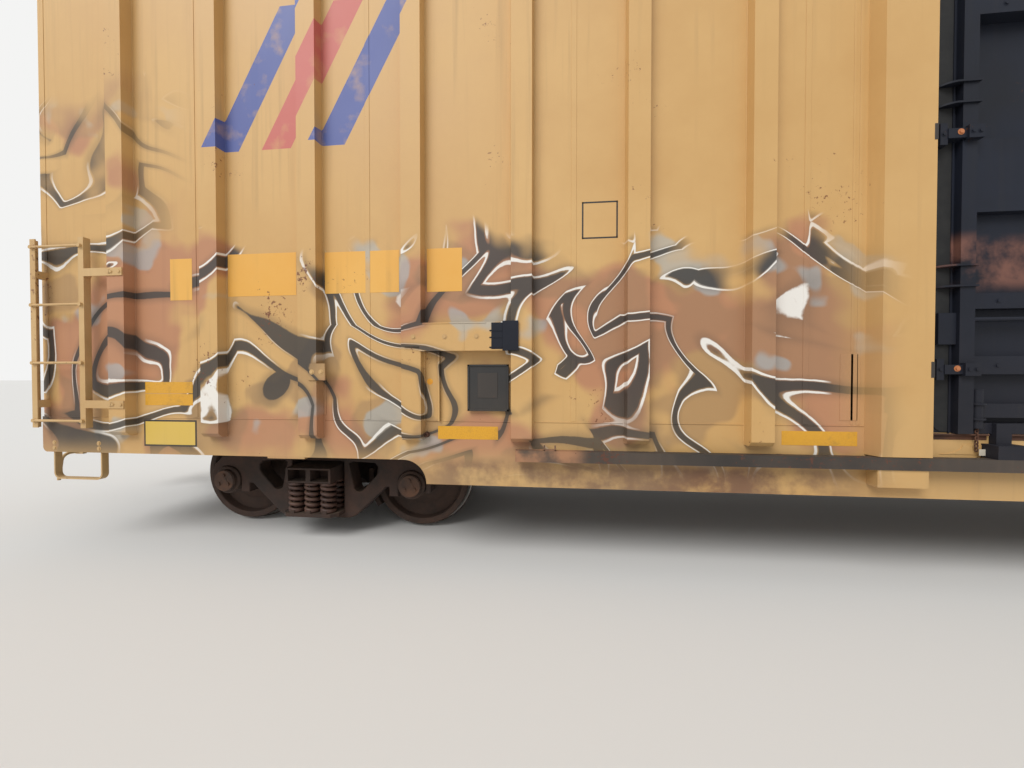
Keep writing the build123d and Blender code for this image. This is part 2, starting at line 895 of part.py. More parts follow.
def make_centre_sill():
    """The centre sill with its cover plate, strikers, coupler carriers and pin seats."""
    web_in = centre_sill_gap / 2
    web_out = web_in + centre_sill_web
    flange_out = web_out + centre_sill_flange
    pin_x = pulling_face_x - coupler_pin_back
    shank_top = coupler_height + shank_height / 2
    shank_foot = coupler_height - shank_height / 2
    with BuildPart() as sill:
        for side in (-1, 1):
            block((-striker_x, striker_x), (web_in, web_out), (centre_sill_bottom, floor_bottom), sy=side)
            block(
                (-striker_x, striker_x),
                (web_out, flange_out),
                (centre_sill_bottom, centre_sill_bottom + centre_sill_web),
                sy=side,
            )
        block(
            (-striker_x, striker_x),
            (-flange_out, flange_out),
            (floor_bottom - centre_sill_web, floor_bottom),
        )
        for sx in (-1, 1):
            block(
                (striker_x - striker_thickness, striker_x),
                (-striker_width / 2, striker_width / 2),
                (shank_foot - carrier_height, floor_bottom),
                sx,
            )
            block(
                (striker_x - striker_thickness, striker_x),
                (-web_in + 12, web_in - 12),
                (shank_foot - seat_gap, shank_top + 40),
                sx,
                mode=Mode.SUBTRACT,
            )
            for low, high in (
                (shank_foot - seat_gap - 26, shank_foot - seat_gap),
                (shank_top + seat_gap, shank_top + seat_gap + 26),
            ):
                block((pin_x - 110, pin_x + 110), (-web_in, web_in), (low, high), sx)
            with Locations((sx * pin_x, 0, coupler_height)):
                Cylinder(coupler_pin_radius, shank_height + 2 * seat_gap)
            block(
                (truck_x - bolster_width / 2, truck_x + bolster_width / 2),
                (-web_in, web_in),
                (centre_sill_bottom, centre_sill_bottom + 60),
                sx,
            )
    write(sill, "centre_sill")


def make_body_bolster(name, sx):
    """A body bolster: an arm each side of the centre sill, and the centre plate under it."""
    web_out = centre_sill_gap / 2 + centre_sill_web
    flange_out = web_out + centre_sill_flange
    flange_top = centre_sill_bottom + centre_sill_web
    flange_inner = side_outer - sill_flange
    half = bolster_width / 2
    slope = (bolster_end_bottom - flange_top) / (flange_inner - bolster_inner)
    with BuildPart() as bolster:
        for side in (-1, 1):
            plane = Plane(origin=(sx * truck_x - half, 0, 0), x_dir=(0, 1, 0), z_dir=(1, 0, 0))
            with BuildSketch(plane):
                with BuildLine():
                    Polyline(
                        (side * flange_out, floor_bottom - centre_sill_web),
                        (side * flange_inner, floor_bottom - centre_sill_web),
                        (side * flange_inner, bolster_end_bottom),
                        (side * bolster_inner, flange_top),
                        (side * web_out, flange_top),
                        (side * web_out, floor_bottom - centre_sill_web),
                        close=True,
                    )
                make_face()
            extrude(amount=bolster_width)
            pad_top = flange_top + slope * (side_bearing_y + 60 - bolster_inner)
            block(
                (sx * truck_x - 110, sx * truck_x + 110),
                (side_bearing_y - 50, side_bearing_y + 50),
                (side_bearing_top + swing_gap, pad_top + 20),
                sy=side,
            )
        with Locations((sx * truck_x, 0, centre_plate_height + centre_plate_thickness / 2)):
            Cylinder(centre_plate_radius, centre_plate_thickness - 2 * seat_gap)
    write(bolster, name)


def make_cross_bearers():
    """Webs and foot flanges from the centre sill to the side sills."""
    web_out = centre_sill_gap / 2 + centre_sill_web
    flange_out = web_out + centre_sill_flange
    flange_top = centre_sill_bottom + centre_sill_web
    web_inner = side_outer - sill_plate
    shelf_inner = side_outer - sill_shelf
    foot_inner = side_outer - sill_flange
    with BuildPart() as bearers:
        for x, outer_foot in cross_bearers:
            for sx in (-1, 1):
                for side in (-1, 1):
                    plane = Plane(
                        origin=(sx * x - cross_web / 2, 0, 0), x_dir=(0, 1, 0), z_dir=(1, 0, 0)
                    )
                    with BuildSketch(plane):
                        with BuildLine():
                            Polyline(
                                (side * flange_out, floor_bottom),
                                (side * shelf_inner, floor_bottom),
                                (side * shelf_inner, floor_bottom - sill_plate),
                                (side * foot_inner, floor_bottom - sill_plate),
                                (side * foot_inner, outer_foot),
                                (side * flange_out, flange_top),
                                (side * web_out, flange_top),
                                (side * web_out, floor_bottom - centre_sill_web),
                                (side * flange_out, floor_bottom - centre_sill_web),
                                close=True,
                            )
                        make_face()
                    extrude(amount=cross_web)
                    plane = Plane(
                        origin=(sx * x - cross_flange / 2, 0, 0), x_dir=(0, 1, 0), z_dir=(1, 0, 0)
                    )
                    with BuildSketch(plane):
                        with BuildLine():
                            Polyline(
                                (side * flange_out, flange_top),
                                (side * foot_inner, outer_foot),
                                (side * foot_inner, outer_foot + cross_web),
                                (side * flange_out, flange_top + cross_web),
                                close=True,
                            )
                        make_face()
                    extrude(amount=cross_flange)
    write(bearers, "cross_bearers")


def leaf_block(span, y, z, sx, sy, mode=Mode.ADD):
    """A block at both edges of a leaf, between two distances from each edge."""
    inner_x = door_gap / 2
    outer_x = jamb - leaf_margin
    block((outer_x - span[1], outer_x - span[0]), y, z, sx, sy, mode)
    block((inner_x + span[0], inner_x + span[1]), y, z, sx, sy, mode)


def leaf_guide(height, sx, sy):
    """A flat guide plate at both edges of a leaf, round at its outer end."""
    skin = side_inner + leaf_depth
    near, far = guide_reach
    front = skin + guide_stand
    for edge, turn in ((jamb - leaf_margin, -1), (door_gap / 2, 1)):
        tip, bend, heel = [sx * (edge + turn * inset) for inset in (near, near + guide_curve, far)]
        middle = (tip + bend) / 2
        with BuildSketch(Plane.XY.offset(height - guide_plate / 2)) as section:
            with BuildLine():
                Polyline((tip, sy * (skin + 4)), (tip, sy * skin), (heel, sy * skin), (heel, sy * front))
                Line((heel, sy * front), (bend, sy * front))
                ThreePointArc(
                    (bend, sy * front),
                    (middle, sy * (skin + 0.72 * guide_stand)),
                    (tip, sy * (skin + 4)),
                )
            make_face()
        extrude(section.sketch, amount=guide_plate)


def make_door(name, sx, sy):
    """A plug door leaf: a pressed sheet with stiles and members, latches, guides and carriers."""
    inner_x = door_gap / 2
    outer_x = jamb - leaf_margin
    skin = side_inner + leaf_depth
    sheet = side_inner + leaf_sheet
    frame_inset = stile_inset + stile_width
    edge_ribs = (
        (leaf_bottom, leaf_bottom + leaf_rib_height, leaf_rib_stand),
        (leaf_top - leaf_rib_height, leaf_top, leaf_rib_stand),
    )
    members = sorted(leaf_members + edge_ribs)
    with BuildPart() as door:
        block((inner_x, outer_x), (side_inner, skin), (leaf_bottom, leaf_top), sx, sy)
        for below, above in zip(members, members[1:]):
            block(
                (inner_x + frame_inset, outer_x - frame_inset),
                (sheet, skin),
                (below[1], above[0]),
                sx,
                sy,
                mode=Mode.SUBTRACT,
            )
        for foot, head, stand in members:
            block((inner_x + frame_inset, outer_x - frame_inset), (skin, skin + stand), (foot, head), sx, sy)
        stile = (stile_inset, frame_inset)
        leaf_block(stile, (skin, skin + stile_stand), (leaf_bottom, leaf_top), sx, sy)
        leaf_block(seal_rib, (skin, skin + seal_rib_stand), (leaf_bottom, leaf_top), sx, sy)
        leaf_block(wear_pad, (skin, skin + wear_pad_stand), wear_pad_heights, sx, sy)
        leaf_block((frame_inset, foot_rod_seat), (sheet, skin), (leaf_bottom, foot_rod_heights[1]), sx, sy)
        rod_y = skin + foot_rod_radius - foot_rod_sink
        for rod_x in (outer_x - foot_rod_inset, inner_x + foot_rod_inset):
            low, high = foot_rod_heights
            rod((sx * rod_x, sy * rod_y, low), (sx * rod_x, sy * rod_y, high), foot_rod_radius)
            for height in foot_rod_collars:
                rod(
                    (sx * rod_x, sy * rod_y, height - guide_plate / 2),
                    (sx * rod_x, sy * rod_y, height + guide_plate / 2),
                    foot_rod_radius + guide_plate,
                )
        for height in latch_heights:
            body = (height - latch_height / 2, height + latch_height / 2)
            link = (height - link_height / 2, height + link_height / 2)
            bolt = (height - bolt_block_height / 2, height + bolt_block_height / 2)
            leaf_block(latch_reach, (skin, skin + latch_stand), body, sx, sy)
            leaf_block((bolt_block[1], latch_reach[0]), (skin, skin + link_stand), link, sx, sy)
            leaf_block(bolt_block, (skin, skin + bolt_block_stand), bolt, sx, sy)
        for height in guide_heights:
            for offset in (-guide_spread / 2, guide_spread / 2):
                leaf_guide(height + offset, sx, sy)
        arm = (carrier_inset - carrier_arm_half, carrier_inset + carrier_arm_half)
        box = (carrier_inset - carrier_half, carrier_inset + carrier_half)
        arm_y = side_outer + seat_gap
        box_foot = lower_rail[1] + seat_gap
        box_head = box_foot + carrier_box_height
        leaf_block(box, (arm_y, side_outer + lower_rail_stand + rail_depth), (box_foot, box_head), sx, sy)
        leaf_block(
            arm,
            (arm_y, skin + stile_stand),
            (box_foot + carrier_box_height / 2, leaf_bottom + leaf_rib_height),
            sx,
            sy,
        )
        case_x = (inner_x + outer_x) / 2
        block(
            (case_x - gear_case[0] / 2, case_x + gear_case[0] / 2),
            (sheet, skin + gear_case[1]),
            (gear_case_height - gear_case[2] / 2, gear_case_height + gear_case[2] / 2),
            sx,
            sy,
        )
        cross_y = skin + cross_rod_stand
        cross_z = gear_case_height - cross_rod_drop
        rod(
            (sx * (inner_x + frame_inset - 1), sy * cross_y, cross_z),
            (sx * (outer_x - frame_inset + 1), sy * cross_y, cross_z),
            cross_rod_radius,
        )
        rod(
            (sx * case_x, sy * (skin + gear_case[1] - 4), gear_case_height - 60),
            (sx * (case_x - lever_length), sy * (skin + gear_case[1] + 6), gear_case_height - 120),
            lever_radius,
        )
    write(door, name)


def make_rail(name, sy, heights, stand, gussets):
    """A door rail: a channel on gussets, with its mouth towards the car."""
    low, high = heights
    back = side_outer + stand
    front = back + rail_depth
    with BuildPart() as rail:
        block((-rail_half, rail_half), (back, front), (low, high), sy=sy)
        block(
            (-rail_half - 1, rail_half + 1),
            (back - 1, front - rail_plate),
            (low + rail_plate, high - rail_plate),
            sy=sy,
            mode=Mode.SUBTRACT,
        )
        if gussets:
            count = int(2 * rail_half // gusset_pitch)
            start = -count * gusset_pitch / 2
            for k in range(count + 1):
                x = start + k * gusset_pitch
                block(
                    (x - gusset_width / 2, x + gusset_width / 2),
                    (side_outer, front - rail_plate / 2),
                    (low + rail_plate / 2, high - rail_plate / 2),
                    sy=sy,
                )
    write(rail, name)


def make_corner_ladder(name, sx, sy):
    """The side ladder at one corner with its clips, and the sill step below it."""
    stile_outer = side_outer + ladder_stand
    rung_y = stile_outer + rung_radius - rung_seat
    low = rung_first - 60
    high = rung_first + (rung_count - 1) * rung_pitch + 70
    outer_x = ladder_inner + ladder_width
    post_x = body_half - bay
    with BuildPart() as ladder:
        for foot, web in (
            ((ladder_inner, ladder_inner + stile_leg), (ladder_inner, ladder_inner + stile_plate)),
            ((outer_x - stile_leg, outer_x), (outer_x - stile_plate, outer_x)),
        ):
            block(foot, (stile_outer - stile_plate, stile_outer), (low, high), sx, sy)
            block(web, (stile_outer - stile_leg, stile_outer), (low, high), sx, sy)
        for k in range(rung_count):
            height = rung_first + k * rung_pitch
            rung_ends = (ladder_inner + stile_leg / 2, outer_x - stile_leg / 2)
            rod(
                (sx * rung_ends[0], sy * rung_y, height),
                (sx * rung_ends[1], sy * rung_y, height),
                rung_radius,
            )
            for x in rung_ends:
                rod(
                    (sx * x, sy * (stile_outer - 1), height),
                    (sx * x, sy * (rung_y + rung_radius), height),
                    rung_head_radius,
                )
        for height in clip_heights:
            for reach, depth in (
                ((post_x - post_face / 2 + 6, ladder_inner), (stile_outer, stile_outer + stile_plate)),
                ((ladder_inner - stile_plate, ladder_inner), (stile_outer - stile_leg, stile_outer)),
            ):
                block(reach, depth, (height - clip_height / 2, height + clip_height / 2), sx, sy)
            block(
                (outer_x - stile_leg, outer_x - stile_leg + 30),
                (side_outer, stile_outer),
                (height - clip_height / 2, height + clip_height / 2),
                sx,
                sy,
            )
        step_back = side_outer - sill_plate - step_depth
        step_plane = Plane(origin=(0, sy * (step_back + step_depth), 0), x_dir=(1, 0, 0), z_dir=(0, -1, 0))
        near, far = sx * step_inner, sx * (step_inner + step_width)
        with BuildSketch(step_plane) as stirrup:
            with BuildLine():
                Polyline(
                    (near, sill_shallow),
                    (near, step_tread),
                    (far, step_tread),
                    (far, sill_shallow),
                    (far - sx * step_bar, sill_shallow),
                    (far - sx * step_bar, step_tread + step_bar),
                    (near + sx * step_bar, step_tread + step_bar),
                    (near + sx * step_bar, sill_shallow),
                    close=True,
                )
            make_face()
            levels = stirrup.vertices().group_by(Axis.Y)
            fillet(levels[0], step_bend)
            fillet(stirrup.vertices().filter_by_position(
                Axis.Y, step_tread + step_bar - 0.1, step_tread + step_bar + 0.1
            ), step_bend - step_bar)
        extrude(stirrup.sketch, amount=sy * step_depth)
    write(ladder, name)


def make_end_ladder(name, sx):
    """The ladder on an end wall, and the grab irons across from it."""
    side = -sx
    face = body_half
    stand = face + end_ladder_stand
    low = rung_first - 60
    high = rung_first + (rung_count - 1) * rung_pitch + 70
    inner_y = end_ladder_outer - end_ladder_width
    with BuildPart() as ladder:
        for y in (inner_y, end_ladder_outer - stile_plate):
            block((face, stand), (y, y + stile_plate), (low, low + 70), sx, side)
            block((stand - stile_leg, stand), (y, y + stile_plate), (low, high), sx, side)
            block((face, stand), (y, y + stile_plate), (end_flat(3) - 35, end_flat(3) + 35), sx, side)
        for k in range(rung_count):
            height = rung_first + k * rung_pitch
            rod(
                (sx * (stand - 20), side * (inner_y + stile_plate / 2), height),
                (sx * (stand - 20), side * (end_ladder_outer - stile_plate / 2), height),
                rung_radius,
            )
        for height in (end_flat(0), end_flat(1)):
            for y in (inner_y, end_ladder_outer - 2 * rung_radius):
                block(
                    (face, stand),
                    (y, y + 2 * rung_radius),
                    (height - rung_radius, height + rung_radius),
                    sx,
                    -side,
                )
            rod(
                (sx * (stand - rung_radius), -side * (inner_y + rung_radius), height),
                (sx * (stand - rung_radius), -side * (end_ladder_outer - rung_radius), height),
                rung_radius,
            )
    write(ladder, name)


def make_end_platform(name, sx):
    """The end sill and the open crossover platform on its brackets."""
    flange_out = centre_sill_gap / 2 + centre_sill_web + centre_sill_flange
    shelf_inner = side_outer - sill_shelf
    tip = body_half + platform_reach
    low = platform_top - platform_thickness
    with BuildPart() as platform:
        for side in (-1, 1):
            block(
                (body_half - end_sill_plate, body_half),
                (flange_out, shelf_inner),
                (sill_shallow + sill_plate, seam_height),
                sx,
                side,
            )
            block(
                (body_half - 60, body_half - end_sill_plate),
                (flange_out, shelf_inner),
                (sill_shallow + sill_plate, sill_shallow + 2 * sill_plate),
                sx,
                side,
            )
            for y in (platform_width / 2 - 60, 320):
                block((body_half, tip), (y, y + 14), (low - 50, low), sx, side)
        block(
            (body_half - end_sill_plate, body_half),
            (-flange_out, flange_out),
            (floor_bottom, seam_height),
            sx,
        )
        block(
            (body_half, tip),
            (-platform_width / 2, platform_width / 2),
            (low, platform_top),
            sx,
        )
        bar = (platform_reach - 30) / platform_bars
        for k in range(platform_bars):
            slot_x = body_half + 20 + k * bar
            for y in (-platform_width / 4, platform_width / 4):
                block(
                    (slot_x, slot_x + platform_slot),
                    (y - platform_width / 4 + 30, y + platform_width / 4 - 30),
                    (low, platform_top),
                    sx,
                    mode=Mode.SUBTRACT,
                )
    write(platform, name)


def make_hand_brake():
    """The hand brake on end b: its gear housing on two pads, the rod down, and its wheel."""
    depth, width, height = brake_housing
    back = body_half + end_rib_depth + 2
    front = back + depth
    side = -1
    y = side * brake_wheel_y
    middle = (end_flat(2) + end_flat(3)) / 2
    with BuildPart() as housing:
        block(
            (back, front),
            (brake_wheel_y - width / 2, brake_wheel_y + width / 2),
            (middle - height / 2, middle + height / 2),
            sy=side,
        )
        fillet(housing.edges().filter_by(Axis.X), 40)
        for pad in (end_flat(2), end_flat(3)):
            block(
                (body_half, back + 12),
                (brake_wheel_y - width / 2, brake_wheel_y + width / 2),
                (pad - 22, pad + 22),
                sy=side,
            )
        rod(
            (back + depth / 2, y, middle - height / 2 + 10),
            (back + depth / 2, y, platform_top + seat_gap),
            brake_rod_radius,
        )
    write(housing, "hand_brake_housing")
    wheel_x = front + 50
    spoke_reach = brake_wheel_radius - brake_wheel_rim
    with BuildPart() as wheel:
        with Locations(Location((wheel_x, y, middle), (0, 90, 0))):
            Torus(spoke_reach, brake_wheel_rim)
        with BuildSketch(Plane(origin=(wheel_x - 6, y, middle), x_dir=(0, 1, 0), z_dir=(1, 0, 0))):
            Circle(42)
            with PolarLocations(0, 5, start_angle=90):
                with Locations((spoke_reach / 2, 0)):
                    Rectangle(spoke_reach, 16)
        extrude(amount=12)
        rod((front, y, middle), (wheel_x + 22, y, middle), brake_shaft_radius)
    write(wheel, "hand_brake_wheel")


def make_uncoupling_lever(name, sx):
    """The uncoupling rod from the car's corner to the coupler, in its two brackets."""
    side = sx
    x = body_half + lever_rod_stand
    corner_y = side_outer - lever_corner_inset
    reach_x = striker_x - striker_thickness + 10
    with BuildPart() as lever:
        with BuildLine():
            FilletPolyline(
                (sx * (x + lever_kick), side * corner_y, lever_rod_z - lever_drop),
                (sx * x, side * corner_y, lever_rod_z),
                (sx * x, side * lever_centre_y, lever_rod_z),
                (sx * reach_x, side * lever_centre_y, lever_rod_z),
                radius=lever_bend,
            )
        with BuildSketch(
            Plane(
                origin=(sx * (x + lever_kick), side * corner_y, lever_rod_z - lever_drop),
                z_dir=(-sx * lever_kick, 0, lever_drop),
            )
        ):
            Circle(lever_rod_radius)
        sweep()
        for y in (corner_y - 140, lever_centre_y + 120):
            block(
                (body_half, x + lever_rod_radius + 8),
                (y, y + 30),
                (lever_rod_z - lever_rod_radius - 8, sill_shallow + 90),
                sx,
                side,
            )
    write(lever, name)


def make_air_gear():
    """The reservoir, brake cylinder, control valve and brake rods, each on its hangers."""
    low = floor_bottom - reservoir_drop
    with BuildPart() as reservoir:
        rod(
            (reservoir_x - reservoir_length / 2, -reservoir_y, low),
            (reservoir_x + reservoir_length / 2, -reservoir_y, low),
            reservoir_radius,
        )
        fillet(reservoir.edges().filter_by(GeomType.CIRCLE), 70)
        for along in (-0.32, 0.32):
            x = reservoir_x + along * reservoir_length
            for y in (reservoir_y - reservoir_radius - 12, reservoir_y + reservoir_radius - 8):
                block((x - hanger_width / 2, x + hanger_width / 2), (y, y + 20), (low, floor_bottom), sy=-1)
    write(reservoir, "air_reservoir")
    with BuildPart() as cylinder:
        low = floor_bottom - reservoir_drop
        rod(
            (cylinder_x - cylinder_length / 2, cylinder_y, low),
            (cylinder_x + cylinder_length / 2, cylinder_y, low),
            cylinder_radius,
        )
        rod(
            (cylinder_x - cylinder_length / 2 - 24, cylinder_y, low),
            (cylinder_x - cylinder_length / 2, cylinder_y, low),
            cylinder_radius + 26,
        )
        rod(
            (cylinder_x - cylinder_length / 2 - 330, cylinder_y, low),
            (cylinder_x - cylinder_length / 2, cylinder_y, low),
            28,
        )
        block(
            (cylinder_x - cylinder_length / 2 + 60, cylinder_x + cylinder_length / 2 - 60),
            (cylinder_y - 50, cylinder_y + 50),
            (low, floor_bottom),
        )
    write(cylinder, "brake_cylinder")
    with BuildPart() as valve:
        x, y, z = valve_size
        block(
            (valve_x - x / 2, valve_x + x / 2),
            (cylinder_y - y / 2, cylinder_y + y / 2),
            (low - z / 2, low + z / 2),
        )
        fillet(valve.edges().filter_by(Axis.Z), 30)
        block((valve_x - 60, valve_x + 60), (cylinder_y - 60, cylinder_y + 60), (low, floor_bottom))
    write(valve, "brake_valve")
    with BuildPart() as rods:
        for sx in (-1, 1):
            rod(
                (sx * 60, sx * brake_rod_y, brake_rod_z),
                (sx * brake_rod_end, sx * brake_rod_y, brake_rod_z),
                12,
            )
            for x in (200, 2400, 4600):
                block(
                    (x - 20, x + 20),
                    (centre_sill_gap / 2, centre_sill_gap / 2 + 12),
                    (brake_rod_z - 30, centre_sill_bottom),
                    sx,
                    sx,
                )
                block(
                    (x - 20, x + 20),
                    (brake_rod_y - 20, centre_sill_gap / 2 + 12),
                    (brake_rod_z - 30, brake_rod_z - 8),
                    sx,
                    sx,
                )
    write(rods, "brake_rods")


def coupler_plane(sx, height):
    """Plan plane at one end: first axis outwards from the pulling face, second to its left."""
    return Plane(origin=(sx * pulling_face_x, 0, height), x_dir=(sx, 0, 0), z_dir=(0, 0, 1))


def make_coupler(name, sx):
    """The coupler body: shank, head and guard arm, with the pocket that the knuckle turns in."""
    pin_x = pulling_face_x - coupler_pin_back
    pocket = knuckle_lug_radius + swing_gap
    with BuildPart() as coupler:
        with BuildSketch(coupler_plane(sx, coupler_height - head_height / 2)):
            with BuildLine():
                Polyline(
                    (-330, -shank_width / 2),
                    (-270, -120),
                    (-190, -185),
                    (-60, -214),
                    (60, -214),
                    (92, -190),
                    (84, -158),
                    (10, -112),
                    (-60, -66),
                    (-82, 0),
                    (-82, 205),
                    (-150, 205),
                    (-250, 140),
                    (-330, shank_width / 2),
                    close=True,
                )
            make_face()
            with Locations((knuckle_pin_out, knuckle_pin_side)):
                Circle(pocket, mode=Mode.SUBTRACT)
        extrude(amount=head_height)
        for low in (
            coupler_height - knuckle_height / 2 - swing_gap - 34,
            coupler_height + knuckle_height / 2 + swing_gap,
        ):
            with BuildSketch(coupler_plane(sx, low)):
                with Locations((knuckle_pin_out, knuckle_pin_side)):
                    Circle(knuckle_lug_radius)
                with BuildLine():
                    Polyline(
                        (knuckle_pin_out, knuckle_pin_side - knuckle_lug_radius),
                        (-190, 40),
                        (-190, 180),
                        (knuckle_pin_out, knuckle_pin_side + knuckle_lug_radius),
                        close=True,
                    )
                make_face()
            extrude(amount=34)
        for low, high in (
            (coupler_height - knuckle_height / 2 - swing_gap - 34, coupler_height - head_height / 2),
            (coupler_height + head_height / 2, coupler_height + knuckle_height / 2 + swing_gap + 34),
        ):
            with BuildSketch(coupler_plane(sx, low)):
                with Locations((-160, 110)):
                    Rectangle(60, 120)
            extrude(amount=high - low)
        with Locations((sx * pulling_face_x + sx * knuckle_pin_out, sx * knuckle_pin_side, coupler_height)):
            Cylinder(knuckle_pin_radius, knuckle_height + 2 * swing_gap + 2)
        with BuildSketch(coupler_plane(sx, coupler_height - shank_height / 2)):
            with Locations(((-coupler_pin_back - 320) / 2, 0)):
                Rectangle(coupler_pin_back - 320, shank_width)
            with Locations((-coupler_pin_back, 0)):
                Circle(shank_width / 2)
        extrude(amount=shank_height)
        with Locations((sx * pin_x, 0, coupler_height)):
            Cylinder(coupler_pin_radius + pin_clearance, shank_height + 2, mode=Mode.SUBTRACT)
    write(coupler, name)


def make_knuckle(name, sx):
    """The knuckle: a hooked jaw on a vertical pin, closed on the coupling line."""
    with BuildPart() as knuckle:
        with BuildSketch(coupler_plane(sx, coupler_height - knuckle_height / 2)):
            with Locations((knuckle_pin_out, knuckle_pin_side)):
                Circle(knuckle_lug_radius)
            with BuildLine():
                Polyline(
                    (knuckle_pin_out + 10, knuckle_pin_side + knuckle_lug_radius - 2),
                    (40, 196),
                    (78, 160),
                    (94, 100),
                    (92, 20),
                    (70, -16),
                    (30, -22),
                    (4, 0),
                    (0, 60),
                    (-20, 92),
                    (knuckle_pin_out, knuckle_pin_side - knuckle_lug_radius + 2),
                    close=True,
                )
            make_face()
            with Locations((knuckle_pin_out, knuckle_pin_side)):
                Circle(knuckle_pin_radius + pin_clearance, mode=Mode.SUBTRACT)
        extrude(amount=knuckle_height)
    write(knuckle, name)


for end_name, end_side in ends:
    make_truck(end_name, end_side)
    make_end_wall(f"end_wall_{end_name}", end_side)
    make_end_ladder(f"end_ladder_{end_name}", end_side)
    make_end_platform(f"end_platform_{end_name}", end_side)
    make_body_bolster(f"body_bolster_{end_name}", end_side)
    make_uncoupling_lever(f"uncoupling_lever_{end_name}", end_side)
    make_coupler(f"coupler_{end_name}", end_side)
    make_knuckle(f"knuckle_{end_name}", end_side)
    for side_name, side_sign in sides:
        make_side_panel(f"side_panel_{end_name}_{side_name}", end_side, side_sign)
        make_corner_ladder(f"ladder_{end_name}_{side_name}", end_side, side_sign)
        make_door(f"door_{end_name}_{side_name}", end_side, side_sign)

for side_name, side_sign in sides:
    make_side_plate(f"side_plate_{side_name}", side_sign)
    make_side_sill(f"side_sill_{side_name}", side_sign)
    make_rail(f"lower_rail_{side_name}", side_sign, lower_rail, lower_rail_stand, True)
    make_rail(f"upper_rail_{side_name}", side_sign, upper_rail, upper_rail_stand, False)

make_roof()
make_floor()
make_centre_sill()
make_cross_bearers()
make_hand_brake()
make_air_gear()
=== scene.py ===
"""Dresses a sixty-foot boxcar: a finish for every CAD node, and the small pieces fastened to it."""

import json
import logging
import math
from dataclasses import dataclass
from enum import Enum
from typing import Iterable, Sequence

import bmesh
import bpy
from mathutils import Matrix, Vector
from mathutils.bvhtree import BVHTree


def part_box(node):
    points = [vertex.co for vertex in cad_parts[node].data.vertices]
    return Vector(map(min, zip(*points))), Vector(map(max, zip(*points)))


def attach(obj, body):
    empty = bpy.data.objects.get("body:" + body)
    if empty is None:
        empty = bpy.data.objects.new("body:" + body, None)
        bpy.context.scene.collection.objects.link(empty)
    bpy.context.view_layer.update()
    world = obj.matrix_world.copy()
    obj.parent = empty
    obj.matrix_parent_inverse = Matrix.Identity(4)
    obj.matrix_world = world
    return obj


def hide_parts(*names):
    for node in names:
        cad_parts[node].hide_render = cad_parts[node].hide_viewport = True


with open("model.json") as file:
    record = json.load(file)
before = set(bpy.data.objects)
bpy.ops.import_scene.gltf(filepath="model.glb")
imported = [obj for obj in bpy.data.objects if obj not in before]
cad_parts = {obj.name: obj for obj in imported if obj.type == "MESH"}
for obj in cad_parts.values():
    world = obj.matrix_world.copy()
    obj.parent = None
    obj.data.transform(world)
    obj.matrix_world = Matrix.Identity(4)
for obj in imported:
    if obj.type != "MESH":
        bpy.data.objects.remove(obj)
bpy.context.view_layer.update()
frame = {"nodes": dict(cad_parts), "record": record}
LOG = logging.getLogger("boxcar")

# Places that the pieces share, in metres, read from the frame
RAIL_TOP = 0.0254
TRUCK_X = sum(corner.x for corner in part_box("truck_bolster_b")) / 2
SHEET_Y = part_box("lower_rail_far")[0].y
POST_Y = SHEET_Y + 0.084
JAMB_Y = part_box("side_panel_b_far")[1].y
BODY_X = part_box("side_panel_b_far")[1].x
JAMB_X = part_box("side_panel_b_far")[0].x
WALL_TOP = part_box("side_panel_b_far")[1].z
SEAM_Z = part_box("side_sill_far")[1].z
RAIL_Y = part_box("lower_rail_far")[1].y
AXLE_Z = sum(corner.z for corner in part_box("wheelset_b1")) / 2
CAP_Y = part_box("wheelset_b1")[1].y
BAY = 0.832
POST_HALF = 0.086
DOOR_POST_X = JAMB_X + 0.340
LEAF_Y = SHEET_Y - 0.002
LEAF_FOOT = SEAM_Z - 0.0397
OUTWARD = (0.0, 1.0, 0.0)
INWARD = (0.0, -1.0, 0.0)
ONE_TURN = [math.radians(45 * k) for k in range(9)]
SPRING_PITCH = 0.150
SPRING_RADIUS = 0.070
JOURNAL_Y = 1.0033

Span = tuple[float, float]
Point = tuple[float, float, float]
Area = tuple[Span, Span]
Lines = list[tuple[Point, Point]]
Socket = bpy.types.NodeSocket
Node = bpy.types.Node
Tree = bpy.types.NodeTree
Material = bpy.types.Material
Mesh = bpy.types.Mesh
Piece = bpy.types.Object
Value = float | tuple | Socket | Node


def inboard(distance: float) -> float:
    """Distance from the car's middle of a place measured from the truck's middle, towards the door."""
    return TRUCK_X - distance


def above_rail(height: float) -> float:
    """Height in the frame of a place measured above the rail."""
    return RAIL_TOP + height


def inboard_span(near: float, far: float) -> Span:
    """The two places of a piece along the car, both measured from the truck's middle."""
    return inboard(near), inboard(far)


def rail_span(low: float, high: float) -> Span:
    """The two heights of a piece, both measured above the rail."""
    return above_rail(low), above_rail(high)


def about(middle: float, half: float) -> Span:
    """The two places as far on either side of a middle."""
    return middle - half, middle + half


def placed(area: Area) -> Area:
    """A piece's two places and two heights in the frame, from those inboard and above the rail."""
    along, up = area
    low_x, high_x = sorted(inboard_span(*along))
    return (low_x, high_x), rail_span(*up)


class Quarter(Enum):
    """The four quarters of the car: the signs of X and Y."""

    A_NEAR = (-1, -1)
    A_FAR = (-1, 1)
    B_NEAR = (1, -1)
    B_FAR = (1, 1)


ALL_QUARTERS = tuple(Quarter)
# The photographed quarter, and the one that stands as it does on the other side
MARKED_QUARTERS = (Quarter.A_NEAR, Quarter.B_FAR)


